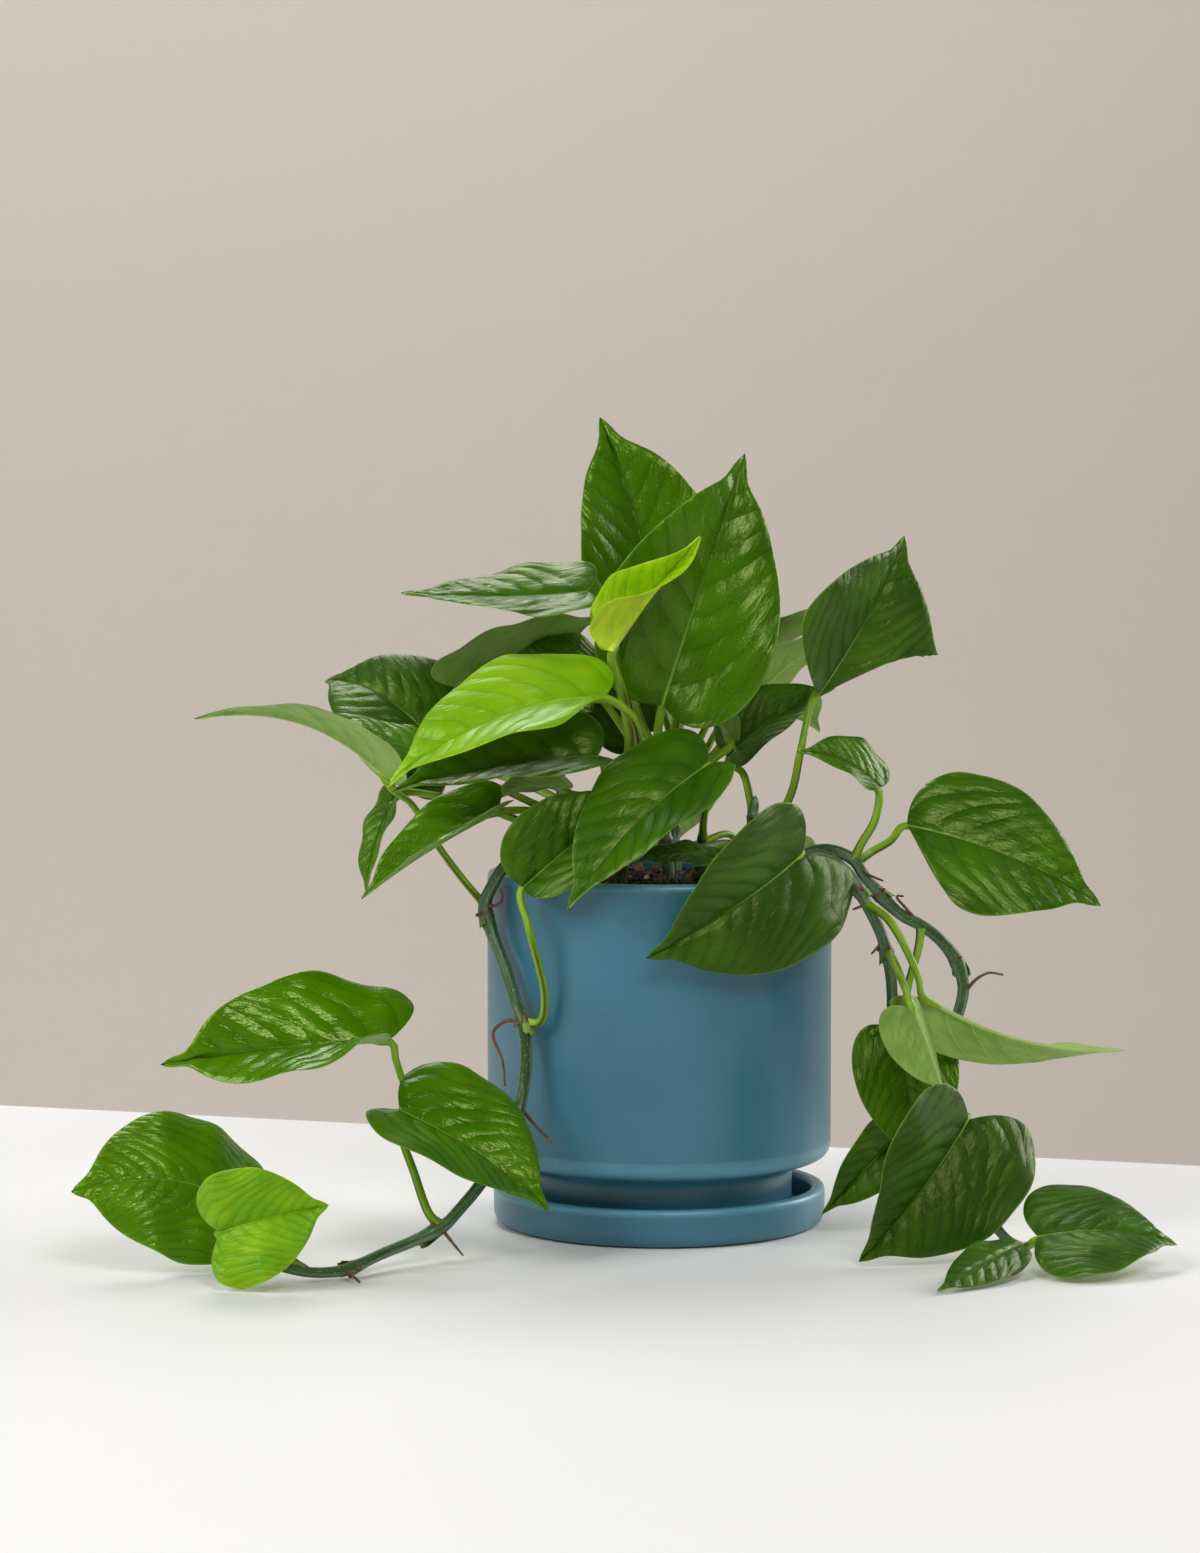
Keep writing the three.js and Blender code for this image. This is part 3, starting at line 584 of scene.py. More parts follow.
def leaf_face(name, light, deep, rib):
    """A leaf's upper face: two greens drifting into each other, veins as faint darker creases in
    painted shade, painted light on the swells between them and painted shade in the hollows, a
    midrib that is pale by the stalk and darkened toward the tip by painted shade in its groove, a
    thin pale margin that is a painted highlight where light catches the edge, small scuffs, and a
    glossy cuticle that is puckered along the veins over a fine net of cells."""
    material, tree = new_material(name)
    surface = surface_map(tree)
    # The tone attribute is partly a leaf's own tone and partly painted light and shade: it draws the
    # whole leaf toward the light green, low on leaves in shade and high on lit ones.
    tone = attribute(tree, "tone")
    veins = effect(tree, "leaf_veins", {"Surface": surface, "Veins": float(VEINS)})
    drift = effect(tree, "mottle", {"Place": surface, "Scale": 3.2})
    # The share toward the light green rises on the swells between the side veins: painted light on the
    # swells and painted shade in the hollows.
    share = weighted(
        tree, -0.35, (tone, 0.9), (veins["Fine"], 0.1), (veins["Swell"], 0.12),
        (drift["Drift"], 0.35), clamp=True)
    along = add_node(tree, "ShaderNodeSeparateXYZ", {0: surface})["Y"]
    # The midrib's colour turns to a deep green toward the tip: painted shade in its groove.
    rib_colour_and_groove_shade = layered(tree, rib, (ramp(tree, along, 0.3, 0.75), np.array(deep) * 0.7))
    # The pale line along the margin is a painted highlight where light catches the edge.
    edge = ramp(tree, calc(tree, "ABSOLUTE", attribute(tree, "mark")), 0.965, 1.0, 0.0, 0.45)
    scuff = ramp(tree, noise(tree, surface, 46.0, 2.0, 0.6, 0.6), 0.745, 0.78, 0.0, 0.25)
    height = weighted(
        tree, 0.0, (veins["Swell"], 0.25), (veins["Fine"], 0.7), (veins["Net"], -0.03),
        (drift["Grain"], 0.02))
    return principled(material, {
        "Base Color": layered(
            # The deep green along the side veins is painted shade in their creases.
            tree, deep, (share, light), (scaled(tree, veins["Vein"], 0.22), np.array(deep) * 0.6),
            (scaled(tree, veins["Midrib"], 0.75), rib_colour_and_groove_shade), (edge, rib),
            (scuff, linear(186, 202, 150))),
        "Roughness": weighted(tree, 0.39, (tone, -0.3), (drift["Grain"], 0.08)), "IOR": 1.5,
        "Specular Tint": (0.85, 1.0, 0.32, 1.0), "Subsurface Weight": 0.08,
        "Subsurface Scale": 0.002, "Subsurface Radius": (0.6, 1.0, 0.1),
        "Normal": bump(tree, height, 0.7, 0.0014),
    })


def leaf_back(name, light, deep, rib):
    """A leaf's underside: paler and duller than its face, with the midrib and veins raised."""
    material, tree = new_material(name)
    surface = surface_map(tree)
    veins = effect(tree, "leaf_veins", {"Surface": surface, "Veins": float(VEINS)})
    drift = effect(tree, "mottle", {"Place": surface, "Scale": 4.0})
    share = weighted(
        tree, -0.4, (veins["Swell"], -0.2), (veins["Fine"], 1.2), (drift["Drift"], 0.3), clamp=True)
    height = weighted(
        tree, 0.0, (veins["Vein"], 0.5), (veins["Net"], 0.12), (drift["Grain"], 0.08))
    return principled(material, {
        "Base Color": layered(
            tree, light, (share, deep), (scaled(tree, veins["Vein"], 0.4), rib),
            (scaled(tree, veins["Midrib"], 0.8), rib)),
        "Roughness": 0.5, "Specular Tint": (0.85, 1.0, 0.5, 1.0), "Subsurface Weight": 0.05,
        "Subsurface Scale": 0.002, "Normal": bump(tree, height, 0.5, 0.0008),
    })


def stalk_skin(light, deep, line):
    """A leaf stalk: yellow-green with darker fibres, and a dry brown line along each edge of its
    groove, where the mark attribute is high."""
    material, tree = new_material("stalk_skin")
    fibre = effect(tree, "stem_fibres", {"Surface": surface_map(tree)})["Fibre"]
    brown = scaled(tree, attribute(tree, "mark"), 0.95, clamp=True)
    return principled(material, {
        "Base Color": layered(tree, deep, (ramp(tree, fibre, 0.3, 0.7), light), (brown, line)),
        "Roughness": 0.34, "Specular Tint": (0.85, 1.0, 0.5, 1.0),
        "Normal": bump(tree, fibre, 0.35, 0.0004),
    })


def vine_skin(green, pale, scar):
    """An older stem: dark green with darker fibres, broken silvery bands along it that are partly its
    pale striations and partly a painted highlight, pale flecks, and a brown scar at each node,
    where the mark attribute is high."""
    material, tree = new_material("vine_skin")
    surface = surface_map(tree)
    fibres = effect(tree, "stem_fibres", {"Surface": surface})
    drift = effect(tree, "mottle", {"Place": object_place(tree), "Scale": 60.0})
    dark = ramp(tree, fibres["Fibre"], 0.35, 0.6, 0.35, 0.0)
    # The silvery bands are partly the stem's pale striations and partly a painted highlight.
    band = ramp(tree, noise(tree, stretched(tree, surface, 5.0, 1.5, 1.0), 1.0, 1.0), 0.47, 0.6)
    striae_and_sheen = scaled(tree, band, ramp(tree, fibres["Fibre"], 0.3, 0.6, 0.25, 0.6))
    return principled(material, {
        "Base Color": layered(
            tree, green, (scaled(tree, drift["Drift"], 0.5), pale), (dark, linear(30, 52, 30)),
            (striae_and_sheen, linear(128, 156, 128)),
            (scaled(tree, fibres["Fleck"], 0.55), linear(150, 176, 140)),
            (attribute(tree, "mark"), scar)),
        "Roughness": 0.36, "Specular Tint": (0.9, 1.0, 0.85, 1.0),
        "Normal": bump(tree, fibres["Fibre"], 0.5, 0.0006),
    })


def fibrous_skin(name, light, dark, rough):
    """Fibrous tissue, such as a woody aerial root or the rest of a sheath."""
    material, tree = new_material(name)
    fibre = effect(tree, "stem_fibres", {"Surface": surface_map(tree)})["Fibre"]
    drift = effect(tree, "mottle", {"Place": object_place(tree), "Scale": 120.0})
    share = weighted(tree, 0.0, (fibre, 0.4), (drift["Drift"], 0.6))
    return principled(material, {
        "Base Color": layered(tree, dark, (share, light)), "Roughness": rough,
        "Normal": bump(tree, fibre, 0.6, 0.0005)})


def pot_glaze(sizes):
    """A satin slate-blue glaze that thins and pales on edges, where the mark attribute is high,
    with slow drifts of depth, faint turning lines and fine pits. The pot and saucer share it."""
    if "slate_glaze" in bpy.data.materials:
        return bpy.data.materials["slate_glaze"]
    material, tree = new_material("slate_glaze")
    place = object_place(tree)
    drift = effect(tree, "mottle", {"Place": place, "Scale": 16.0})
    turning = noise(tree, stretched(tree, place, 6.0, 6.0, 700.0), 1.0, 2.0)
    thin = scaled(tree, attribute(tree, "mark"), ramp(tree, drift["Grain"], 0.0, 1.0, 0.75, 1.0))
    glaze = np.array(sizes.glaze)
    height = weighted(tree, 0.0, (drift["Grain"], 0.3), (turning, 0.08))
    return principled(material, {
        "Base Color": layered(
            tree, glaze * 0.9, (drift["Drift"], glaze * 1.1),
            (ramp(tree, turning, 0.4, 0.75, 0.0, 0.03), sizes.thin_glaze),
            (thin, sizes.thin_glaze)),
        "Roughness": scaled(tree, drift["Grain"], 0.08, 0.36), "Coat Weight": 0.4,
        "Coat Roughness": 0.34, "Normal": bump(tree, height, 0.12, 0.0006),
    })


def mix_crumb(name, dark, light, rough):
    """Potting mix: peat and bark browns that differ from crumb to crumb by the tone attribute,
    which on crumbs is only their random tone.
    """
    material, tree = new_material(name)
    speck = noise(tree, object_place(tree), 420.0, 4.0, 0.65)
    share = scaled(
        tree, attribute(tree, "tone"), 0.7, ramp(tree, speck, 0.3, 0.75, -0.15, 0.45), clamp=True)
    return principled(material, {
        "Base Color": layered(tree, dark, (share, light)), "Roughness": rough,
        "Normal": bump(tree, speck, 0.7, 0.0012)})


def plain_surface(name, colour, rough):
    """A plain matt surface with a trace of grain, for the floor and the wall."""
    material, tree = new_material(name)
    grain = ramp(tree, noise(tree, object_place(tree), 900.0, 2.0), 0.3, 0.7, 0.0, 0.03)
    return principled(material, {
        "Base Color": layered(tree, colour, (grain, np.array(colour) * 0.8)), "Roughness": rough})


# Sizes of the plant: radii, the sides of its tubes, the distances between the points of their
# paths, how far a node swells along and out of its stem, and the rests of sheaths

VINE_RADIUS, STALK_RADIUS = 2.6 * MM, 1.6 * MM
BUD_RADII = np.array([1.2, 1.2, 1.15, 1.05, 0.9, 0.7, 0.4]) * MM * 0.8
STEM_SIDES, STALK_SIDES, ROOT_SIDES, BUD_SIDES = 20, 18, 9, 8
STEM_STEP, STALK_STEP, ROOT_STEP = 0.0016, 0.0022, 0.0012
NODE_WIDTH, NODE_SWELL = 0.018, 0.28
REST_LENGTH, REST_THICKNESS, REST_SPREAD = 0.006, 0.00014, 1.2

# Each stem in millimetres: where it leaves the mix, in which it stands upright, the points that it
# passes from there, the parts of its length at which its nodes sit, and the points of its roots
STEM_FOOT_HEIGHTS = (107.5, 130)
STEMS = {
    "stem_left": (
        (-36, 6, 152), [(-38, 7, 170), (-43, 8, 188), (-45, 10, 204)],
        [0.5, 0.64, 0.78, 0.9], [],
    ),
    "stem_front_left": (
        (-17, -18, 152), [(-15, -19, 172), (-12, -20, 192), (-13, -18, 206)],
        [0.5, 0.62, 0.74, 0.86], [],
    ),
    "stem_front": (
        (16, -30, 152), [(17, -30, 162), (18, -31, 174)],
        [0.7, 0.86], [],
    ),
    "stem_middle": (
        (4, 2, 152), [(2, 3, 176), (0, 4, 206)],
        [0.6, 0.74, 0.88], [],
    ),
    "stem_right": (
        (38, 0, 152), [(40, 2, 170), (42, 4, 186)],
        [0.6, 0.74, 0.88], [],
    ),
    "stem_back": (
        (8, 36, 152), [(7, 40, 172), (8, 42, 198)],
        [0.55, 0.68, 0.8, 0.92], [],
    ),
    "vine_left": (
        (-46, -16, 151),
        [(-50, -24, 160), (-57, -32, 163.5), (-66, -37, 159), (-72, -36, 150), (-75, -34, 142),
         (-72, -37, 130), (-66, -47, 116), (-61, -54, 101), (-58, -58, 94), (-57, -61, 81),
         (-58, -64, 68), (-60, -68, 58), (-66, -75, 45), (-75, -84, 31), (-84, -93, 21),
         (-91, -100, 15), (-115, -118, 7), (-129, -136, 4), (-143, -145, 5), (-153, -147, 8),
         (-161, -149, 13)],
        [0.3, 0.45, 0.58, 0.75, 0.88, 0.98],
        [[(-75, -34, 142), (-70, -38.5, 142), (-67.5, -39.5, 145), (-68.2, -39, 149)],
         [(-58, -58, 94), (-65, -57, 95), (-71, -57, 90), (-67, -59, 78), (-66, -62, 68)],
         [(-59, -67, 59), (-52, -74, 52), (-46, -80, 47)],
         [(-91, -100, 14), (-86, -106, 9), (-82, -110, 5)],
         [(-129, -136, 4), (-125, -143, 3), (-122, -148, 1.5)]],
    ),
    "vine_right": (
        (54, -12, 151),
        [(60, -14, 160), (71, -16, 164), (83, -18, 160), (90, -18, 150), (104, -17, 136),
         (113, -16, 131), (121, -16, 125), (128, -17, 116), (131, -19, 105), (129, -22, 95),
         (120, -27, 75), (118, -31, 64), (122, -46, 44), (132, -70, 22), (142, -92, 9),
         (148, -104, 6)],
        [0.33, 0.48, 0.75, 0.99],
        [[(83, -18, 159), (89, -21, 154), (96, -22, 151)],
         [(113, -16, 131), (106, -18, 139), (102, -18, 144), (105, -18, 144)],
         [(130, -20, 100), (136, -21, 108), (142, -20, 111), (148, -19, 110)]],
    ),
    "vine_middle": (
        (50, -36, 150),
        [(56, -33, 159), (68, -31, 163), (80, -31, 155), (88, -33, 142), (94, -34, 130),
         (97, -34, 120), (99, -33, 106), (99, -32, 92), (98, -31, 76), (97, -31, 60)],
        [0.5, 0.66, 0.98],
        [[(88, -34, 142), (82, -36, 140)],
         [(95, -34, 126), (90, -36, 121)]],
    ),
}
# Each leaf in millimetres and degrees: its name, the notch at its stalk, its tip, the way its face
# looks, its width, the points that its stalk passes from the axis of the stem that it grows on,
# and what differs from LEAF_USUAL. A pair of values is for its two halves.
LEAF_COLUMNS = ("name", "base", "tip", "face", "width", "stalk")
# A leaf's tone is partly its own tone and partly painted light and shade: low on leaves that lie in
# shade, high on lit ones, and on curled_lime a painted sheen.
LEAF_USUAL = {
    "tone": 0.5, "lobe": 0.9, "fold": 12, "curl": 14, "arch": 5, "bow": 0, "twist": 0, "wave": 1.2,
    "thick": 1, "drip": 1, "young": False,
}
LEAVES = [
    # Crown, back to front
    ("top_back", (4, 40, 257), (-26, 50, 352), (0.3, -1, 0.1), 73,
     [(1, 4, 190), (5, 14, 206), (9, 32, 236)],
     dict(tone=0.65, lobe=(0.4, 0.9), fold=26, arch=4, wave=2)),
    ("top_front", (1.2, -10, 226.4), (37, 5, 335), (0, -1, 0.2), 79,
     [(1, 4, 188), (0, -1, 197), (-1, -4, 211)],
     dict(tone=0.52, twist=-50, lobe=(0.3, 0.55), fold=(32, 4), curl=16, arch=6, thick=1.2)),
    ("curled_lime", (-21, -24, 250), (17, -30, 299), (-0.5, -1, 0.3), 40,
     [(-13, -18, 202), (-13, -18, 214), (-17, -18, 234)],
     dict(tone=1.0, fold=(51, 71), twist=-130, curl=0, arch=2, lobe=(0.5, 0.3), drip=0, thick=1.3,
          young=True)),
    ("upper_left", (-32, 0, 275), (-112, 0, 274), (0, -0.36, 0.93), 50,
     [(0, 4, 203), (-8, 5, 218), (-16, 4, 244)],
     dict(tone=0.4, fold=14, arch=-2, twist=-20, lobe=0.6)),
    ("under_left", (-89, 25, 233), (-25, 28, 264), (-0.2, 0.6, 0.8), 49,
     [(-45, 10, 200), (-56, 16, 207), (-70, 22, 216)], dict(fold=10, arch=1)),
    ("dark_left", (-94, 42, 201), (-151, 74, 233), (-0.2, -0.7, 0.8), 62,
     [(-41, 8, 182), (-54, 18, 188), (-74, 34, 194)], dict(tone=0.25, fold=12, arch=16)),
    ("low_dark_left", (-95, 4, 198), (-148, 6, 216), (0.1, -0.35, 0.95), 36,
     [(-39, 7, 176), (-54, 6, 182), (-72, 5, 190)], dict(tone=0.75, fold=12)),
    ("far_left", (-115, -25, 193), (-199, -30, 221), (0.1, 0.2, 1), 46,
     [(-75, -33, 142), (-81, -29, 148), (-94, -22, 164), (-107, -20, 184)],
     dict(fold=20, arch=13, twist=25, lobe=0.6)),
    ("big_lime", (-24, -40, 231), (-115, -62, 194), (-0.2, -0.6, 0.8), 62,
     [(-12, -20, 194), (-9, -26, 206), (-12, -36, 222)],
     dict(tone=0.38, lobe=(-0.4, 0.8), fold=(26, 18), arch=12, wave=1.8, young=True, thick=1.2)),
    ("below_lime", (-27, -30, 205), (-114, -50, 191), (0, -0.7, 0.7), 54,
     [(-15, -19, 174), (-20, -24, 184), (-23, -28, 194)],
     dict(tone=0.4, fold=(40, 22), lobe=0.6, arch=5)),
    ("lower_left", (-70, -35, 182), (-127, -49, 146), (-0.1, -0.85, 0.5), 38,
     [(-16, -18, 162), (-26, -23, 170), (-48, -30, 181)], dict(tone=0.7, fold=(74, 8), arch=4)),
    ("hanging_left", (-115, 9, 186), (-128, -2, 143), (-0.9, -0.6, 0.2), 23,
     [(-37, 6, 162), (-54, 4, 172), (-88, 4, 184)], dict(tone=0.7, fold=24, bow=-5)),
    ("front_round", (-58, -62, 152), (-9, -42, 190), (0, -1, 0.3), 48,
     [(-58, -58, 94), (-51, -62, 95), (-49, -65, 106), (-56, -66, 136)],
     dict(tone=0.3, fold=(16, 52), lobe=0.4, arch=6)),
    ("front_middle", (20, -50, 203), (-39, -88, 145), (-0.3, -0.8, 0.55), 60,
     [(18, -31, 170), (18, -39, 178), (20, -46, 192)],
     dict(tone=0.35, fold=(34, 14), lobe=(0.4, 0.9), arch=8)),
    ("front_right", (59, -54, 165), (-7, -88, 125), (0.2, -1, -0.15), 75,
     [(17, -30, 162), (26, -34, 166), (44, -43, 173)],
     dict(tone=0.12, fold=(12, 34), lobe=(1.6, 0.6), arch=8)),
    ("upper_right", (69, 0, 230), (107, 10, 299), (0.4, -0.9, -0.2), 80,
     [(40, 2, 168), (50, -4, 175), (57, -7, 188), (61, -6, 206)],
     dict(tone=0.2, fold=(30, 10), lobe=(-0.2, -1.8))),
    ("behind_right", (30.7, 26, 201.6), (77.5, 21, 232.5), (-0.2, -0.7, 0.7), 45,
     [(41, 3, 176), (40, 9, 184), (37, 18, 195)], dict(tone=0.25, lobe=0.4, fold=(9, 34))),
    ("strap_right", (38, 52, 241), (85, 52, 265), (0.2, 0.5, 1), 30,
     [(8, 42, 192), (16, 50, 203), (28, 53, 226)], dict()),
    ("pale_right", (46, 39, 231), (84, 39, 253), (0.2, 0.5, 1), 34,
     [(8, 41, 186), (18, 43, 194), (36, 42, 216)], dict()),
    ("small_right", (94, -20, 191), (58, -30, 207), (0.2, -0.6, 0.8), 32,
     [(83, -18, 159), (86, -20, 166), (92, -22, 177)], dict(tone=0.5, lobe=(0.2, 0.9), fold=26)),
    ("big_right", (106.7, -15, 174.5), (190, -20, 140), (0, -0.8, 0.55), 70,
     [(84, -18, 158), (92, -14, 163), (100, -15, 168)],
     dict(tone=0.4, bow=-3, fold=(6, 12), arch=4, lobe=(0.3, -0.6))),
    ("pale_long", (112, -53, 104), (195.5, -57, 82.3), (0, 1, -0.1), 38,
     [(88, -33, 142), (96, -41, 137), (103, -48, 126), (109, -52, 112)],
     dict(lobe=(1.2, 0.3), twist=-80, fold=(48, 98), curl=0, bow=-7, wave=0.6)),
    ("pale_short", (104.5, -73, 102), (118, -76, 66.4), (0.1, 1, 0), 34,
     [(97, -34, 121), (98, -46, 120), (102, -63, 110)], dict(fold=(8, 80), curl=0, wave=0.6)),
    ("glossy_right", (103, -37, 86), (109, -42, 32), (0, -1, 0.1), 46,
     [(113, -16, 131), (111, -22, 121), (107, -26, 108), (105, -30, 98)],
     dict(tone=0.55, fold=(2, 12))),
    ("heart_right", (127, -84, 57), (80, -108, 2), (0.5, -0.85, 0.2), 76,
     [(118, -30, 66), (120, -42, 61), (123, -56, 56), (125, -70, 53)],
     dict(tone=0.1, fold=(20, 34), lobe=(1.4, 0.5), arch=6)),
    ("by_saucer", (108, -24, 46), (69, -38, 9), (-0.1, -0.9, 0.2), 30,
     [(97, -31, 62), (103, -30, 61), (110, -27, 56)], dict(tone=0.2, fold=(12, 44))),
    ("floor_right", (153, -114, 13.6), (210, -112, 9.6), (0, -0.45, 0.9), 66,
     [(147, -102, 6), (152, -108, 10)],
     dict(tone=0.3, lobe=(0.7, 0.5), twist=8, wave=0.5, fold=(4, 12), arch=5)),
    ("floor_small", (145, -121, 12), (107, -168, 1.5), (0.3, -0.5, 0.8), 22,
     [(145, -99, 7), (144, -109, 10)], dict(tone=0.25, fold=(0, -14), curl=0, lobe=0.2, arch=2)),
    ("trailing_upper", (-115, -60, 87), (-210, -70, 78), (0, -0.7, 0.7), 68,
     [(-60, -68, 58), (-72, -66, 52), (-96, -66, 54), (-107, -62, 66), (-112, -60, 79)],
     dict(drip=1.6, tone=0.9, lobe=(0.2, 1), fold=(36, 30), arch=5, bow=-2, wave=2, twist=54)),
    ("trailing_middle", (-109, -85, 61), (-47, -100, 21), (0.1, -0.5, 0.85), 68,
     [(-91, -100, 15), (-96, -101, 20), (-103, -97, 38), (-109, -91, 53)],
     dict(tone=0.75, fold=(20, 28), arch=5)),
    ("trailing_far", (-185, -106, 31), (-240, -126, 34), (0, -0.9, 0.4), 67,
     [(-144, -145, 5), (-154, -138, 12), (-164, -126, 24), (-178, -111, 30)],
     dict(tone=1.0, bow=4, lobe=(1, 2.9), fold=(2, -6), arch=6, wave=2)),
    ("trailing_tip", (-177, -152, 22.5), (-134, -150, 33), (0, -0.95, 0.3), 50,
     [(-159, -149, 12), (-170, -151, 17)],
     dict(tone=0.25, fold=(38, 10), lobe=1.1, arch=5, wave=2, young=True)),
    # Small and half-hidden leaves of the crown
    ("pale_middle", (32, 6, 211), (4, 16, 233), (0, 0.5, 0.85), 28,
     [(2, 3, 178), (11, 4, 188), (24, 4, 202)], dict()),
    ("behind_lime", (-30, 20, 234), (-66, 19, 246), (0, -0.8, 0.6), 38,
     [(1, 4, 184), (-6, 10, 198), (-18, 16, 218)], dict()),
    ("shaded", (-10, 32, 213), (-37, 37, 252), (-0.3, -1, 0.2), 34,
     [(2, 3, 176), (-1, 12, 186), (-6, 25, 200)], dict(tone=0.1)),
    ("pale_low", (-40, -14, 190), (-74, -8, 184), (0, 0.4, 0.9), 30,
     [(-15, -19, 170), (-24, -14, 178), (-34, -13, 187)], dict()),
    ("over_soil", (23, -42, 162), (-12, -47.5, 160.5), (0, -0.6, 0.8), 16,
     [(16, -30, 154), (20, -37, 157)], dict(tone=0.3)),
    # Back of the crown, out of sight from the front
    ("back_left", (-34, 66, 218), (-92, 98, 200), (-0.3, 0.5, 0.8), 58,
     [(8, 41, 185), (-1, 47, 192), (-20, 60, 206)], dict(arch=10)),
    ("back_top", (0, 64, 236), (10, 126, 202), (0, 0.6, 0.8), 64,
     [(8, 42, 197), (6, 48, 208), (2, 56, 224)], dict(arch=12)),
    ("back_right", (36, 69, 224), (76, 111, 208), (0.3, 0.5, 0.8), 50,
     [(7, 41, 178), (16, 50, 190), (26, 63, 210)], dict(arch=8)),
    ("back_low", (4, 66, 188), (-4, 118, 142), (0, 0.9, 0.5), 56,
     [(7, 39, 166), (7, 48, 174), (5, 58, 183)], dict(arch=10)),
    ("back_low_right", (39, 64, 161), (70, 108, 116), (0.3, 0.9, 0.4), 50,
     [(8, 37, 158), (19, 44, 162), (32, 56, 165)], dict(arch=8)),
]

# Surfaces of the plant


def leaf_axes(row):
    """A row of LEAVES in metres and radians, with its sizes for both halves and its axes:
    along from the notch at the stalk to the tip, up out of its face."""
    leaf = {**LEAF_USUAL, **dict(zip(LEAF_COLUMNS, row)), **row[-1]}
    for key in ("base", "tip", "width", "arch", "bow", "wave", "stalk"):
        leaf[key] = np.array(leaf[key], float) * MM
    for key in ("lobe", "fold", "curl"):
        leaf[key] = np.broadcast_to(np.array(leaf[key], float), 2)
    leaf["fold"] = np.radians(leaf["fold"])
    leaf["curl"] = np.radians(leaf["curl"]) / (leaf["width"] / 2) + 1e-3
    reach = leaf["tip"] - leaf["base"]
    leaf["length"] = np.linalg.norm(reach)
    leaf["along"] = reach / leaf["length"]
    face = unit(np.array(leaf["face"], float))
    leaf["up"] = unit(face - (face @ leaf["along"]) * leaf["along"])
    leaf["across"] = np.cross(leaf["along"], leaf["up"])
    return leaf


def blade_middle(leaf, t, v):
    """A blade's middle surface at the parts t of its length and v of its half width, -1 to 1.
    The half width is W/2 sin(pi t^0.62)^0.85 (1 - 0.35 t^8), less a bell near t = 0.9 that draws
    the tip out, and the margin lies lobe sqrt(t) (1 - t)^4 behind t, which makes the two lobes.
    Each half leaves the midrib at its fold angle and curls back as an arc, a sine of 2.3 waves
    moves the margin, parabolas arch and bow the midrib, and the blade twists round it. Also gives
    the place s along it and the flat distance from it."""
    side = (v >= 0).astype(int)
    lobe, fold, curl = leaf["lobe"][side], leaf["fold"][side], leaf["curl"][side]
    reach = np.abs(v)
    swell = np.maximum(np.sin(np.pi * t**0.62), 0) ** 0.85
    swell = swell * (1 - 0.35 * t**8) * (1 - 0.32 * leaf["drip"] * bell(t - 0.9, 0.07))
    flat = leaf["width"] / 2 * swell * reach
    s = t - lobe * np.sqrt(t) * (1 - t) ** 4 * reach
    out = (np.sin(fold) - np.sin(fold - curl * flat)) / curl * np.sign(v)
    ripple = np.sin(2 * np.pi * (2.3 * s + 0.13 + 0.37 * side))
    rise = (np.cos(fold - curl * flat) - np.cos(fold)) / curl
    rise = rise + leaf["wave"] * reach**2 * ripple * np.sin(np.pi * np.sqrt(t))
    turn = np.radians(leaf["twist"]) * (s - 0.5)
    hump = 4 * s * (1 - s)
    across = out * np.cos(turn) - rise * np.sin(turn) + leaf["bow"] * hump
    up = out * np.sin(turn) + rise * np.cos(turn) + leaf["arch"] * hump
    place = (
        leaf["base"] + (s * leaf["length"])[..., None] * leaf["along"]
        + across[..., None] * leaf["across"] + up[..., None] * leaf["up"]
    )
    return place, s, flat * np.sign(v)


def blade(leaf, look, seed):
    """A blade as a closed sheet. Between its side veins, which lie where q is whole as in
    vein_group, it swells by |sin pi q|^0.7, and value noise puckers it and its margin. A groove
    of exp(-(x/w)^2) runs over its midrib, and a ridge of the same kind under it."""
    t = 1e-4 + (0.9995 - 1e-4) * np.linspace(0, 1, look.rows + 1)[:, None] ** 1.6
    even = np.linspace(-1, 1, look.columns + 1)
    v = np.concatenate([[-1], 0.985 * np.sign(even) * np.abs(even) ** 1.2, [1]])[None]
    t, v = np.broadcast_arrays(t, v)
    middle, s, flat = blade_middle(leaf, t, v)
    offset = flat / leaf["length"]
    r, reach = np.abs(offset), np.abs(v)
    lean = VEIN_LEAN - VEIN_FALL * np.exp(-np.maximum(s, 0) / VEIN_REACH)
    q = VEINS * (s - (lean + VEIN_BEND * r) * r) + VEIN_STAGGER * (offset > 0)
    wave = np.abs(np.sin(np.pi * q))
    open_part = smoothstep(0.02, 0.2, reach) * (1 - smoothstep(0.8, 1, reach))
    open_part = open_part * smoothstep(0, 0.08, t) * (1 - smoothstep(0.85, 1, t))
    swell = look.quilt * (leaf["width"] / 0.06) * wave**0.7 * open_part
    plane = np.stack([flat, s * leaf["length"], np.full_like(s, seed)], -1)
    pucker = lattice_noise(plane, 0.013, seed) * 0.0008 + lattice_noise(plane, 0.006, seed) * 0.0002
    ruffle = lattice_noise(plane, 0.011, seed + 9) * 0.0007 * reach**6
    lift = swell + (pucker * smoothstep(0, 0.3, reach) + ruffle) * smoothstep(0, 0.1, t)
    middle = middle + grid_normals(middle) * lift[..., None]
    body = look.thickness / 2 * np.sqrt(1 - np.minimum(reach, 1) ** 8)
    groove = 0.0005 * bell(flat, 0.0009) * (1 - 0.6 * s)
    ridge = 0.0010 * bell(flat, 0.0011) * (1 - 0.8 * s)
    vein = 0.00018 * (1 - wave**0.5) * open_part
    uv = np.stack([MAP_MIDDLE + offset, MAP_START + MAP_LENGTH * s], -1)
    sheet = closed_sheet(middle, body - groove, body + ridge + vein, uv, (0, 1), v)
    sheet["tone"] = leaf["tone"]
    return sheet


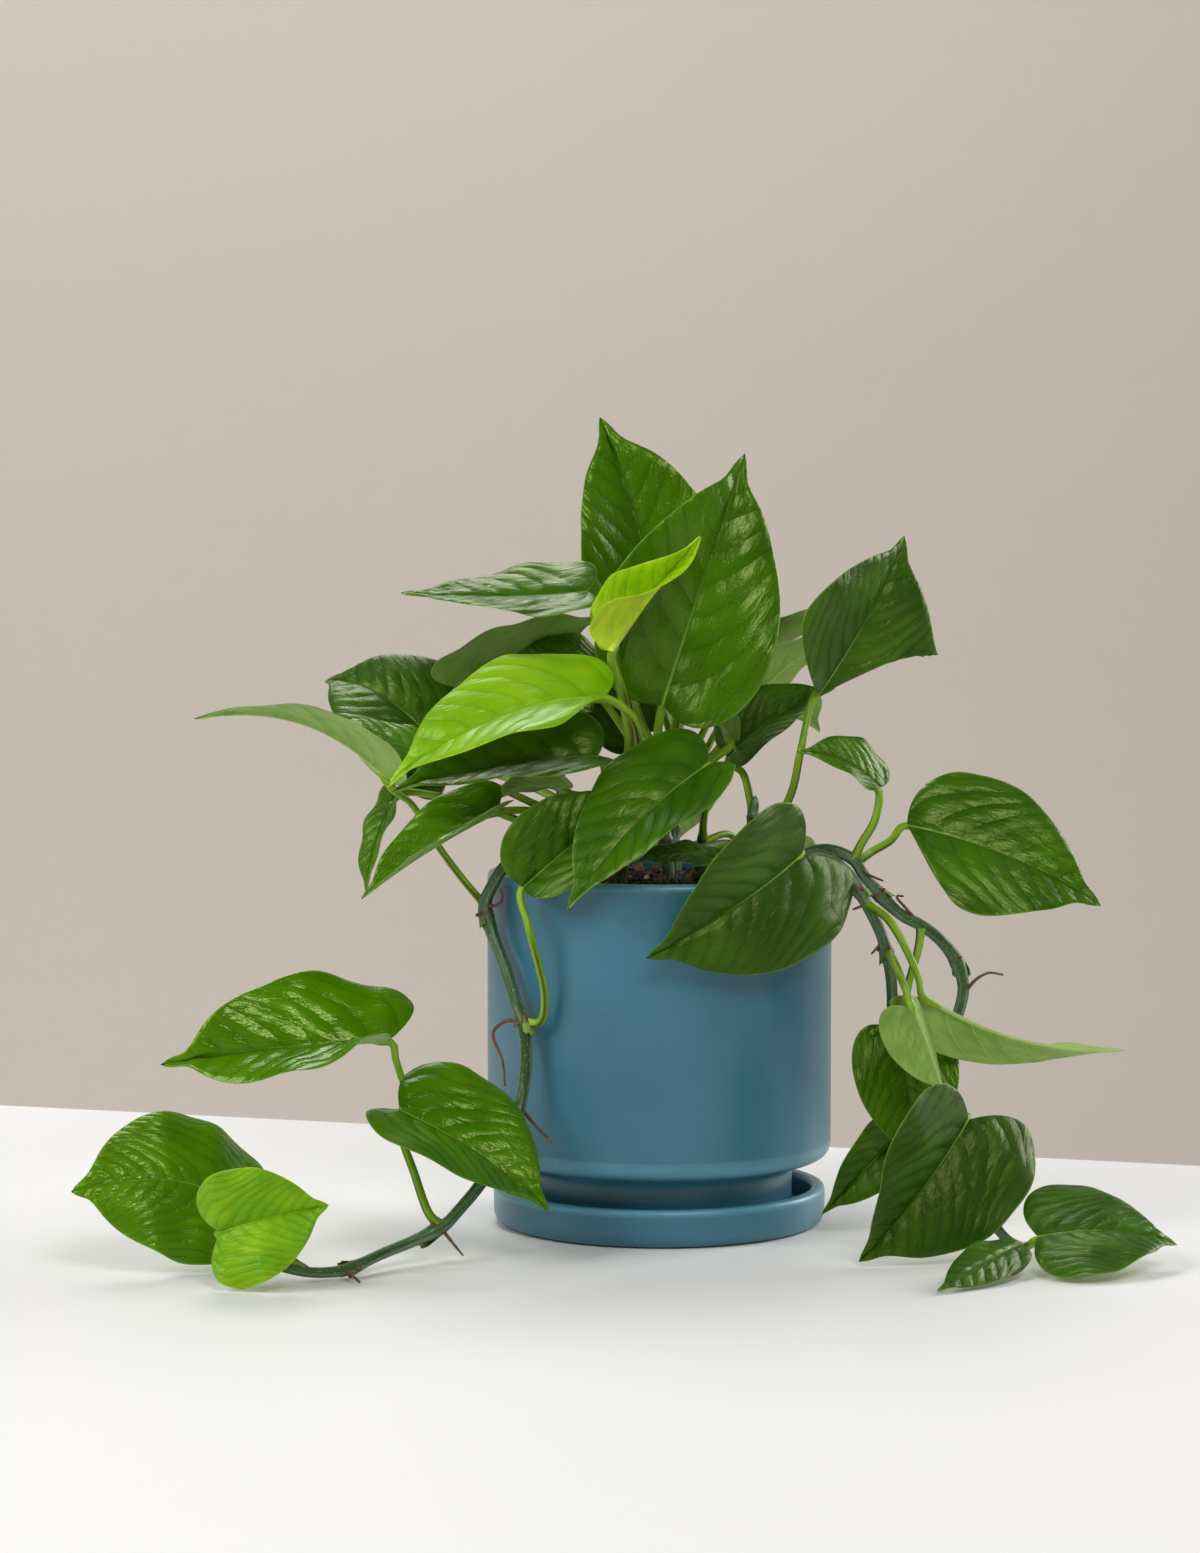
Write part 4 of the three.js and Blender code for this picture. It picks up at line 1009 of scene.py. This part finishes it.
def stalk(leaf):
    """A leaf's stalk as a tube from its stem's axis to under the midrib. Its radius falls by a
    quarter, widens by smooth steps at the sheath and by a bell at the knee below the blade, and
    dips by exp(-(a/0.5)^2) at the angle a from its upper side, between the sheath's two edges.
    The mark attribute is a bell of the angle at each edge."""
    notch = blade_middle(leaf, np.array([0.08]), np.array([0.0]))[0][0]
    knee = leaf["base"] - 0.0024 * leaf["up"] - 0.0015 * leaf["along"]
    points = np.concatenate([leaf["stalk"], [knee, notch - 0.0012 * leaf["up"]]])
    length = run_lengths(points)[-1]
    path = smooth_path(points, max(24, int(length / STALK_STEP)))
    u = np.linspace(0, 1, len(path))[:, None]
    signed = (angles(STALK_SIDES) + np.pi) % (2 * np.pi) - np.pi
    angle = np.abs(signed)
    sheath = 1 - smoothstep(0.5, 0.72, u)
    core = STALK_RADIUS * leaf["thick"] * (1.15 - 0.25 * u)
    core = core * (1 + 0.3 * (1 - smoothstep(0.0, 0.006, u * length)))
    core = core * (1 + 0.16 * bell((1 - u) * length - 0.009, 0.005))
    core = core * (1 - 0.75 * smoothstep(0.94, 1.0, u))
    dip = bell(angle, 0.5) * (0.1 + 0.25 * sheath)
    lip = bell(angle - 0.95, 0.3) * 0.16 * sheath
    edges = (bell(signed - 0.95, 0.42) + bell(signed + 1.9, 0.42)) * sheath
    radius = core * (1 - dip + lip)
    return tube(path, radius, STALK_SIDES, slot=2, first=leaf["up"], mark=edges)


def stem_core(top, points, nodes):
    """A stem's smooth path, which starts upright below its top in the mix, the parts u of its
    length, the length, and its radius, which swells by a bell at each node and narrows toward the
    tip by a quarter of u^4."""
    foot = [(*top[:2], height) for height in STEM_FOOT_HEIGHTS]
    points = np.array([*foot, top, *points], float) * MM
    length = run_lengths(points)[-1]
    path = smooth_path(points, int(length / STEM_STEP))
    u = np.linspace(0, 1, len(path))[:, None]
    swell = bell(u - np.array(nodes), NODE_WIDTH).sum(axis=1, keepdims=True)
    return path, u, length, VINE_RADIUS * (1 + NODE_SWELL * swell) * (1 - 0.25 * u**4)


def stem_tube(core, nodes, seed):
    """A stem with low lengthwise ribs, a raised ring and a brown scar at each node, and its tip
    rounded off by the root of the distance that is left."""
    path, u, length, radius = core
    turn = angles(STEM_SIDES)
    drift = lattice_noise(np.stack([u * 40, 0 * u, 0 * u + seed], -1), 1.0, seed)
    ribs = 0.025 * np.sin(5 * turn + 2 * drift) + 0.015 * np.sin(9 * turn - 3 * drift)
    away = (u - np.array(nodes)) * length
    ring = bell(away, 0.0009).sum(axis=1, keepdims=True)
    scar = bell(away + 0.0012, 0.0011).sum(axis=1, keepdims=True)
    close = np.minimum(1, np.sqrt((1 - u) * length / VINE_RADIUS + 0.02))
    radius = radius * (1 + ribs + 0.07 * ring) * close
    return tube(path, radius, STEM_SIDES, mark=scar * (0.7 + 0.3 * np.sin(3 * turn + seed)))


def root_tubes(core, nodes, roots, rng):
    """The thin roots of a stem, narrowing from 0.9 to 0.45 mm, and two short root buds at each
    of its nodes, which leave it sideways and end as blunt cones."""
    shells = []
    for root in roots:
        points = np.array(root, float) * MM
        path = smooth_path(points, max(10, int(run_lengths(points)[-1] / ROOT_STEP)))
        u = np.linspace(0, 1, len(path))[:, None]
        rough = 1 + 0.16 * lattice_noise(path / MM, 1.6, 5)[:, None]
        radius = (0.9 - 0.45 * u) * MM * rough
        shells.append(tube(path, radius, ROOT_SIDES, slot=1, uv_scale=12.0))
    path, radius = core[0], core[3]
    _, normals, binormals = path_frames(path, FIRST_NORMAL)
    for node in nodes:
        at = int(node * (len(path) - 1))
        for turn in rng.uniform(0, 2 * np.pi, 2):
            out = normals[at] * np.cos(turn) + binormals[at] * np.sin(turn)
            reach = radius[at, 0] + rng.uniform(1.0, 2.4) * MM
            bud = path[at] + out * np.linspace(0.6, 1, len(BUD_RADII))[:, None] * reach
            shells.append(tube(bud, BUD_RADII, BUD_SIDES, slot=1, uv_scale=12.0))
    return shells


def sheath_rests(core, nodes, rng):
    """The rests of sheaths at a stem's nodes: each is a sheet bent round the stem over about 140
    degrees, which flares out and ends in a ragged edge of value noise."""
    shells = []
    path, _, length, radius = core
    _, normals, binormals = path_frames(path, FIRST_NORMAL)
    steps = np.arange(len(path))
    round_part = np.linspace(-1, 1, 17)[:, None]
    for number, node in enumerate(nodes[:-1]):
        turn = rng.uniform(0, 2 * np.pi) + REST_SPREAD * round_part
        ragged = 0.65 + 0.35 * np.cos(1.3 * round_part)
        jag = lattice_noise(np.stack([turn * 4, 0 * turn, 0 * turn + number], -1), 1.0, 3)
        along = np.linspace(0, 1, 10)[None] * (ragged + 0.18 * jag)
        along = along * REST_LENGTH * rng.uniform(0.7, 1.2)
        spot = np.clip(node + along / length, 0, 1) * steps[-1]
        out = (
            read_at(spot, steps, normals) * np.cos(turn)[..., None]
            + read_at(spot, steps, binormals) * np.sin(turn)[..., None]
        )
        stand = radius[int(node * steps[-1]), 0] * 1.02 + along * 0.22
        grid = read_at(spot, steps, path) + out * stand[..., None]
        thin = np.full(along.T.shape, REST_THICKNESS)
        uv = np.stack([np.broadcast_to(turn, along.shape) / 6, along * 40], -1)
        shells.append(
            closed_sheet(grid.transpose(1, 0, 2), thin, thin, uv.transpose(1, 0, 2), (2, 2)))
    return shells


# Surfaces of the pot and the mix


def pot_profile(sizes):
    """The pot's ring of corners: the foot, the cove out to the side, the rounded rim, and the
    inner wall down to the drain hole."""
    inner, low = sizes.radius - sizes.wall, sizes.foot - sizes.wall
    inside = FOOT_HEIGHT + sizes.wall
    return [
        (DRAIN_RADIUS, FOOT_HEIGHT, 0.0006), (sizes.foot, FOOT_HEIGHT, 0.0016),
        (sizes.foot, sizes.step - 0.0014, 0.0042), (sizes.radius, sizes.step + 0.0016, 0.0068),
        (sizes.radius, sizes.rim, 0.0029), (inner, sizes.rim, 0.0029),
        (inner, sizes.step + 0.0078, 0.005), (low, sizes.step + 0.0022, 0.003),
        (low, inside, 0.003), (DRAIN_RADIUS, inside, 0.0006),
    ]


def saucer_profile(sizes):
    """The saucer's corners from its middle out: the rounded lower edge, the soft rim, the floor."""
    out, floor = sizes.saucer, 0.005
    return [
        (0.0, 0.0, 0.0), (out - 0.0002, 0.0, 0.0062), (out, sizes.saucer_rim, 0.0026),
        (out - 0.0059, sizes.saucer_rim, 0.0026), (out - 0.007, floor, 0.0024), (0.0, floor, 0.0),
    ]


def mix_surface(sizes, x, y, edge):
    """Height of the mix's top: level, with a rise of two sizes of value noise, and sunk by a
    smooth step toward its edge."""
    place = np.stack([x, y, np.zeros_like(x)], -1)
    rise = lattice_noise(place, 0.013, 4) * 0.0012 + lattice_noise(place, 0.005, 6) * 0.0008
    sink = 0.003 * smoothstep(edge - 0.012, edge, np.hypot(x, y))
    return sizes.soil - 0.0010 + rise - sink


def mix_body(sizes):
    """The mix as a turned form in the pot, with mix_surface as its top."""
    floor = FOOT_HEIGHT + sizes.wall + SEAT_GAP
    low = sizes.foot - sizes.wall - SEAT_GAP
    high = sizes.radius - sizes.wall - SEAT_GAP
    side = np.array([
        [0, floor], [low - 0.004, floor], [low, floor + 0.005], [low, sizes.step + 0.003],
        [high - 0.0042, sizes.step + 0.007], [high, sizes.step + 0.011], [high, sizes.soil - 0.006],
    ])
    across = np.linspace(high, 0.0015, 46)
    top = np.stack([across, np.full(46, sizes.soil)], 1)
    profile = np.concatenate([side, top, [[0, sizes.soil - 0.001]]])

    def relief(x, y, row):
        return np.where(row >= len(side) - 1, mix_surface(sizes, x, y, high) - sizes.soil, 0.0)

    return revolved(profile, POT_SIDES, closed=False, relief=relief)


# The lumps in the mix: how many, their smallest and largest size in metres, how flat they are,
# their darkest and lightest colour, and their roughness
MIX_KINDS = {
    "peat": (1100, 0.0006, 0.0021, 0.9, (24, 18, 14), (74, 56, 42), 0.95),
    "bark_chips": (110, 0.0022, 0.0044, 0.35, (56, 38, 26), (126, 92, 62), 0.85),
    "perlite": (60, 0.0007, 0.0016, 0.9, (196, 190, 178), (236, 232, 222), 0.8),
}


def lumps(places, sizes, rng, slot, squash):
    """Small rough lumps: an icosahedron each, its corners moved in and out at random, squashed
    along one axis and turned at random."""
    golden = (1 + 5**0.5) / 2
    base = np.array([
        corner for a in (-1, 1) for b in (-golden, golden)
        for corner in ((0, a, b), (a, b, 0), (b, 0, a))
    ]) / 1.9
    near = np.linalg.norm(base[:, None] - base[None], axis=-1) < 1.2
    trios = np.array([
        (a, b, c) for a, b, c in itertools.combinations(range(12), 3)
        if near[a, b] and near[b, c] and near[a, c]
    ])
    way = np.einsum("ij,ij->i", base[trios[:, 0]], np.cross(base[trios[:, 1]], base[trios[:, 2]]))
    trios = np.where((way > 0)[:, None], trios, trios[:, ::-1])
    count = len(places)
    rough = rng.uniform(0.72, 1.28, (count, 12, 1))
    stretch = rng.uniform((0.8, 0.6, squash * 0.6), (1.2, 1.0, squash), (count, 1, 3))
    axes, _ = np.linalg.qr(rng.normal(size=(count, 3, 3)))
    axes[:, :, 0] *= np.linalg.det(axes)[:, None]
    points = np.einsum("nij,nkj->nki", axes, base * rough * stretch) * sizes[:, None, None]
    tris = (trios[None] + 12 * np.arange(count)[:, None, None]).reshape(-1, 3)
    return {
        "points": (points + places[:, None]).reshape(-1, 3), "tris": tris,
        "tri_uv": np.zeros((len(tris), 3, 2)), "tri_slot": np.full(len(tris), slot),
        "tone": np.repeat(rng.uniform(0, 1, count), 12),
    }


def scattered(count, radius, rng):
    """Random places over a disc, as dense everywhere."""
    far, turn = radius * np.sqrt(rng.uniform(0, 1, count)), rng.uniform(0, 2 * np.pi, count)
    return far * np.cos(turn), far * np.sin(turn)


# Operators


class POTHOS_OT_pot(bpy.types.Operator):
    """Adds the glazed pot"""

    bl_idname = "pothos.add_pot"
    bl_label = "Add pot"

    def execute(self, context):
        sizes = context.scene.pothos_pot
        profile, bend = rounded_profile(pot_profile(sizes))
        shell = revolved(profile, POT_SIDES, bend * smoothstep(0.02, 0.04, profile[:, 1]))
        make_piece("glazed_pot", [shell], [pot_glaze(sizes)], ["pot"])
        return {"FINISHED"}


class POTHOS_OT_saucer(bpy.types.Operator):
    """Adds the saucer that the pot stands in"""

    bl_idname = "pothos.add_saucer"
    bl_label = "Add saucer"

    def execute(self, context):
        sizes = context.scene.pothos_pot
        profile, bend = rounded_profile(saucer_profile(sizes))
        shell = revolved(
            profile, POT_SIDES, bend * smoothstep(0.008, 0.014, profile[:, 1]), closed=False)
        make_piece("glazed_saucer", [shell], [pot_glaze(sizes)], ["saucer"])
        return {"FINISHED"}


class POTHOS_OT_mix(bpy.types.Operator):
    """Adds the potting mix with its crumbs, bark chips and grains of perlite"""

    bl_idname = "pothos.add_mix"
    bl_label = "Add potting mix"

    def execute(self, context):
        sizes = context.scene.pothos_pot
        rng = np.random.default_rng(11)
        inner = sizes.radius - sizes.wall
        shells, materials = [mix_body(sizes)], []
        for slot, (name, row) in enumerate(MIX_KINDS.items()):
            count, small, large, squash, dark, light, rough = row
            size = rng.uniform(small, large, count)
            x, y = scattered(count, inner - 0.003, rng)
            z = mix_surface(sizes, x, y, inner) + 0.2 * size
            shells.append(lumps(np.stack([x, y, z], -1), size, rng, slot, squash))
            materials.append(mix_crumb(name, linear(*dark), linear(*light), rough))
        make_piece("crumbly_mix", shells, materials, ["potting_mix"])
        return {"FINISHED"}


class POTHOS_OT_stems(bpy.types.Operator):
    """Adds the upright stems and the hanging vines with their roots"""

    bl_idname = "pothos.add_stems"
    bl_label = "Add stems"

    def execute(self, context):
        materials = [
            vine_skin(context.scene.pothos_foliage.vine, linear(66, 108, 44), linear(96, 72, 46)),
            fibrous_skin("root_skin", linear(140, 98, 62), linear(70, 46, 32), 0.7),
            fibrous_skin("sheath_rest", linear(128, 168, 60), linear(84, 96, 40), 0.5),
        ]
        for seed, (name, (top, points, nodes, roots)) in enumerate(STEMS.items()):
            rng = np.random.default_rng(100 + seed)
            core = stem_core(top, points, nodes)
            shells = [stem_tube(core, nodes, seed), *root_tubes(core, nodes, roots, rng)]
            shells += sheath_rests(core, nodes, rng)
            make_piece(name + "_skin", shells, materials, [name])
        return {"FINISHED"}


class POTHOS_OT_leaves(bpy.types.Operator):
    """Adds every leaf, a veined blade on its stalk"""

    bl_idname = "pothos.add_leaves"
    bl_label = "Add leaves"

    def execute(self, context):
        look = context.scene.pothos_foliage
        skin = stalk_skin(linear(150, 188, 44), linear(92, 140, 14), linear(48, 22, 22))
        grown = [
            leaf_face("leaf_face", look.green, look.deep, linear(128, 170, 66)),
            leaf_back("leaf_back", look.back, linear(88, 132, 40), linear(176, 202, 120)), skin,
        ]
        young = [
            leaf_face("young_leaf_face", look.young, linear(96, 160, 0), linear(196, 220, 80)),
            # The young underside's light green is partly its own pale colour and partly a painted
            # highlight, brightened for the curled leaf's roll, which faces down.
            leaf_back(
                "young_leaf_back", linear(214, 238, 60), linear(160, 200, 10),
                linear(232, 240, 150)),
            skin,
        ]
        for seed, row in enumerate(LEAVES):
            leaf = leaf_axes(row)
            make_piece(
                leaf["name"] + "_leaf", [blade(leaf, look, seed), stalk(leaf)],
                young if leaf["young"] else grown, ["leaf_" + leaf["name"]])
        return {"FINISHED"}


# The stage in metres: the floor's corners and depth, the room's profile, the lights with their
# place, aim, size and share of the main power, and the camera
FLOOR_CORNERS, FLOOR_DEPTH = ((-2.6, -3.0), (2.6, -3.0), (2.6, -0.61), (-2.6, 1.06)), 0.04
ROOM_PROFILE = (
    (0, -1.1, 0), (6.1, -1.1, 0), (6.1, 3.4, 0), (6.0, 3.4, 0), (6.0, -1.0, 1.6), (0, -1.0, 0),
)
LIGHTS = {
    "front_light": ((0.66, -1.85, 1.75), (0, 0, 0.16), 1.0, 0.85),
    "left_light": ((-1.8, -0.85, 1.4), (0, 0, 0.16), 1.3, 1.1),
    "right_light": ((1.75, 0.9, 0.85), (0, 0, 0.12), 1.3, 1.05),
    "back_light": ((-0.4, 1.6, 2.3), (0, 0.3, 0), 1.4, 1.1),
    "wall_light": ((-0.9, 2.2, 2.9), (-0.2, 6.0, 0.4), 2.2, 5.3),
}
CAMERA_PLACE, CAMERA_DOWN, CAMERA_LENS, CAMERA_SENSOR = (-0.0259, -1.650, 0.299), 3.62, 88.04, 36.0
ROOM_COLOUR, ROOM_STRENGTH = (0.86, 0.85, 0.83, 1.0), 0.15


class POTHOS_OT_stage(bpy.types.Operator):
    """Adds the pale floor, the wall far behind it, the soft lights and the camera"""

    bl_idname = "pothos.add_stage"
    bl_label = "Add stage"

    def execute(self, context):
        look = context.scene.pothos_stage
        scene = context.scene
        scene.view_settings.view_transform = "Standard"
        points = [(x, y, z) for z in (-FLOOR_DEPTH, 0.0) for x, y in FLOOR_CORNERS]
        faces = [(3, 2, 1, 0), (4, 5, 6, 7), (0, 1, 5, 4), (1, 2, 6, 5), (2, 3, 7, 6), (3, 0, 4, 7)]
        mesh = bpy.data.meshes.new("table_top")
        mesh.from_pydata(points, [], faces)
        mesh.materials.append(plain_surface("pale_table", look.floor, 0.55))
        table_top = add_object("table_top", mesh)
        profile, _ = rounded_profile(ROOM_PROFILE, 12)
        wall = plain_surface("wall_paint", look.wall, 0.9)
        surround = make_piece("surround", [revolved(profile, 96, closed=False)], [wall])
        for name, (place, aim, size, share) in LIGHTS.items():
            lamp = bpy.data.lights.new(name, "AREA")
            lamp.shape, lamp.size, lamp.energy = "DISK", size, look.light * share
            light = add_object(name, lamp)
            light.location = place
            toward = Vector(aim) - Vector(place)
            light.rotation_euler = toward.to_track_quat("-Z", "Y").to_euler()
        world = bpy.data.worlds.new("soft_room")
        scene.world = world
        world.use_nodes = True
        backdrop = world.node_tree.nodes["Background"]
        backdrop.inputs["Color"].default_value = ROOM_COLOUR
        backdrop.inputs["Strength"].default_value = ROOM_STRENGTH
        lens = bpy.data.cameras.new("photo_view")
        lens.lens, lens.sensor_width = CAMERA_LENS, CAMERA_SENSOR
        lens.clip_start, lens.clip_end = 0.05, 30.0
        scene.camera = add_object("photo_view", lens)
        scene.camera.location = CAMERA_PLACE
        scene.camera.rotation_euler = (np.radians(90 - CAMERA_DOWN), 0.0, 0.0)
        return {"FINISHED"}


class POTHOS_PT_panel(bpy.types.Panel):
    """The sizes and colours, and a button for each part of the model"""

    bl_idname = "POTHOS_PT_panel"
    bl_label = "Potted jade pothos"
    bl_space_type = "VIEW_3D"
    bl_region_type = "UI"
    bl_category = "Pothos"

    def draw(self, context):
        groups = (
            (context.scene.pothos_pot, (POTHOS_OT_pot, POTHOS_OT_saucer, POTHOS_OT_mix)),
            (context.scene.pothos_foliage, (POTHOS_OT_stems, POTHOS_OT_leaves)),
            (context.scene.pothos_stage, (POTHOS_OT_stage,)),
        )
        for settings, operators in groups:
            box = self.layout.box()
            for key in settings.__annotations__:
                box.prop(settings, key)
            for operator in operators:
                box.operator(operator.bl_idname)


SETTINGS = {"pothos_pot": PotSizes, "pothos_foliage": FoliageLook, "pothos_stage": StageLook}
OPERATORS = (
    POTHOS_OT_stage, POTHOS_OT_pot, POTHOS_OT_saucer, POTHOS_OT_mix, POTHOS_OT_stems, POTHOS_OT_leaves,
)
CLASSES = (*SETTINGS.values(), *OPERATORS, POTHOS_PT_panel)


def register():
    """Registers the classes and gives the scene their settings."""
    for made in CLASSES:
        bpy.utils.register_class(made)
    for name, group in SETTINGS.items():
        setattr(bpy.types.Scene, name, PointerProperty(type=group))


def unregister():
    """Takes the settings and the classes away again."""
    for name in SETTINGS:
        delattr(bpy.types.Scene, name)
    for made in reversed(CLASSES):
        bpy.utils.unregister_class(made)


def main():
    """Registers the add-on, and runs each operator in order."""
    register()
    bpy.ops.pothos.add_stage()
    bpy.ops.pothos.add_pot()
    bpy.ops.pothos.add_saucer()
    bpy.ops.pothos.add_mix()
    bpy.ops.pothos.add_stems()
    bpy.ops.pothos.add_leaves()


if __name__ == "__main__":
    main()
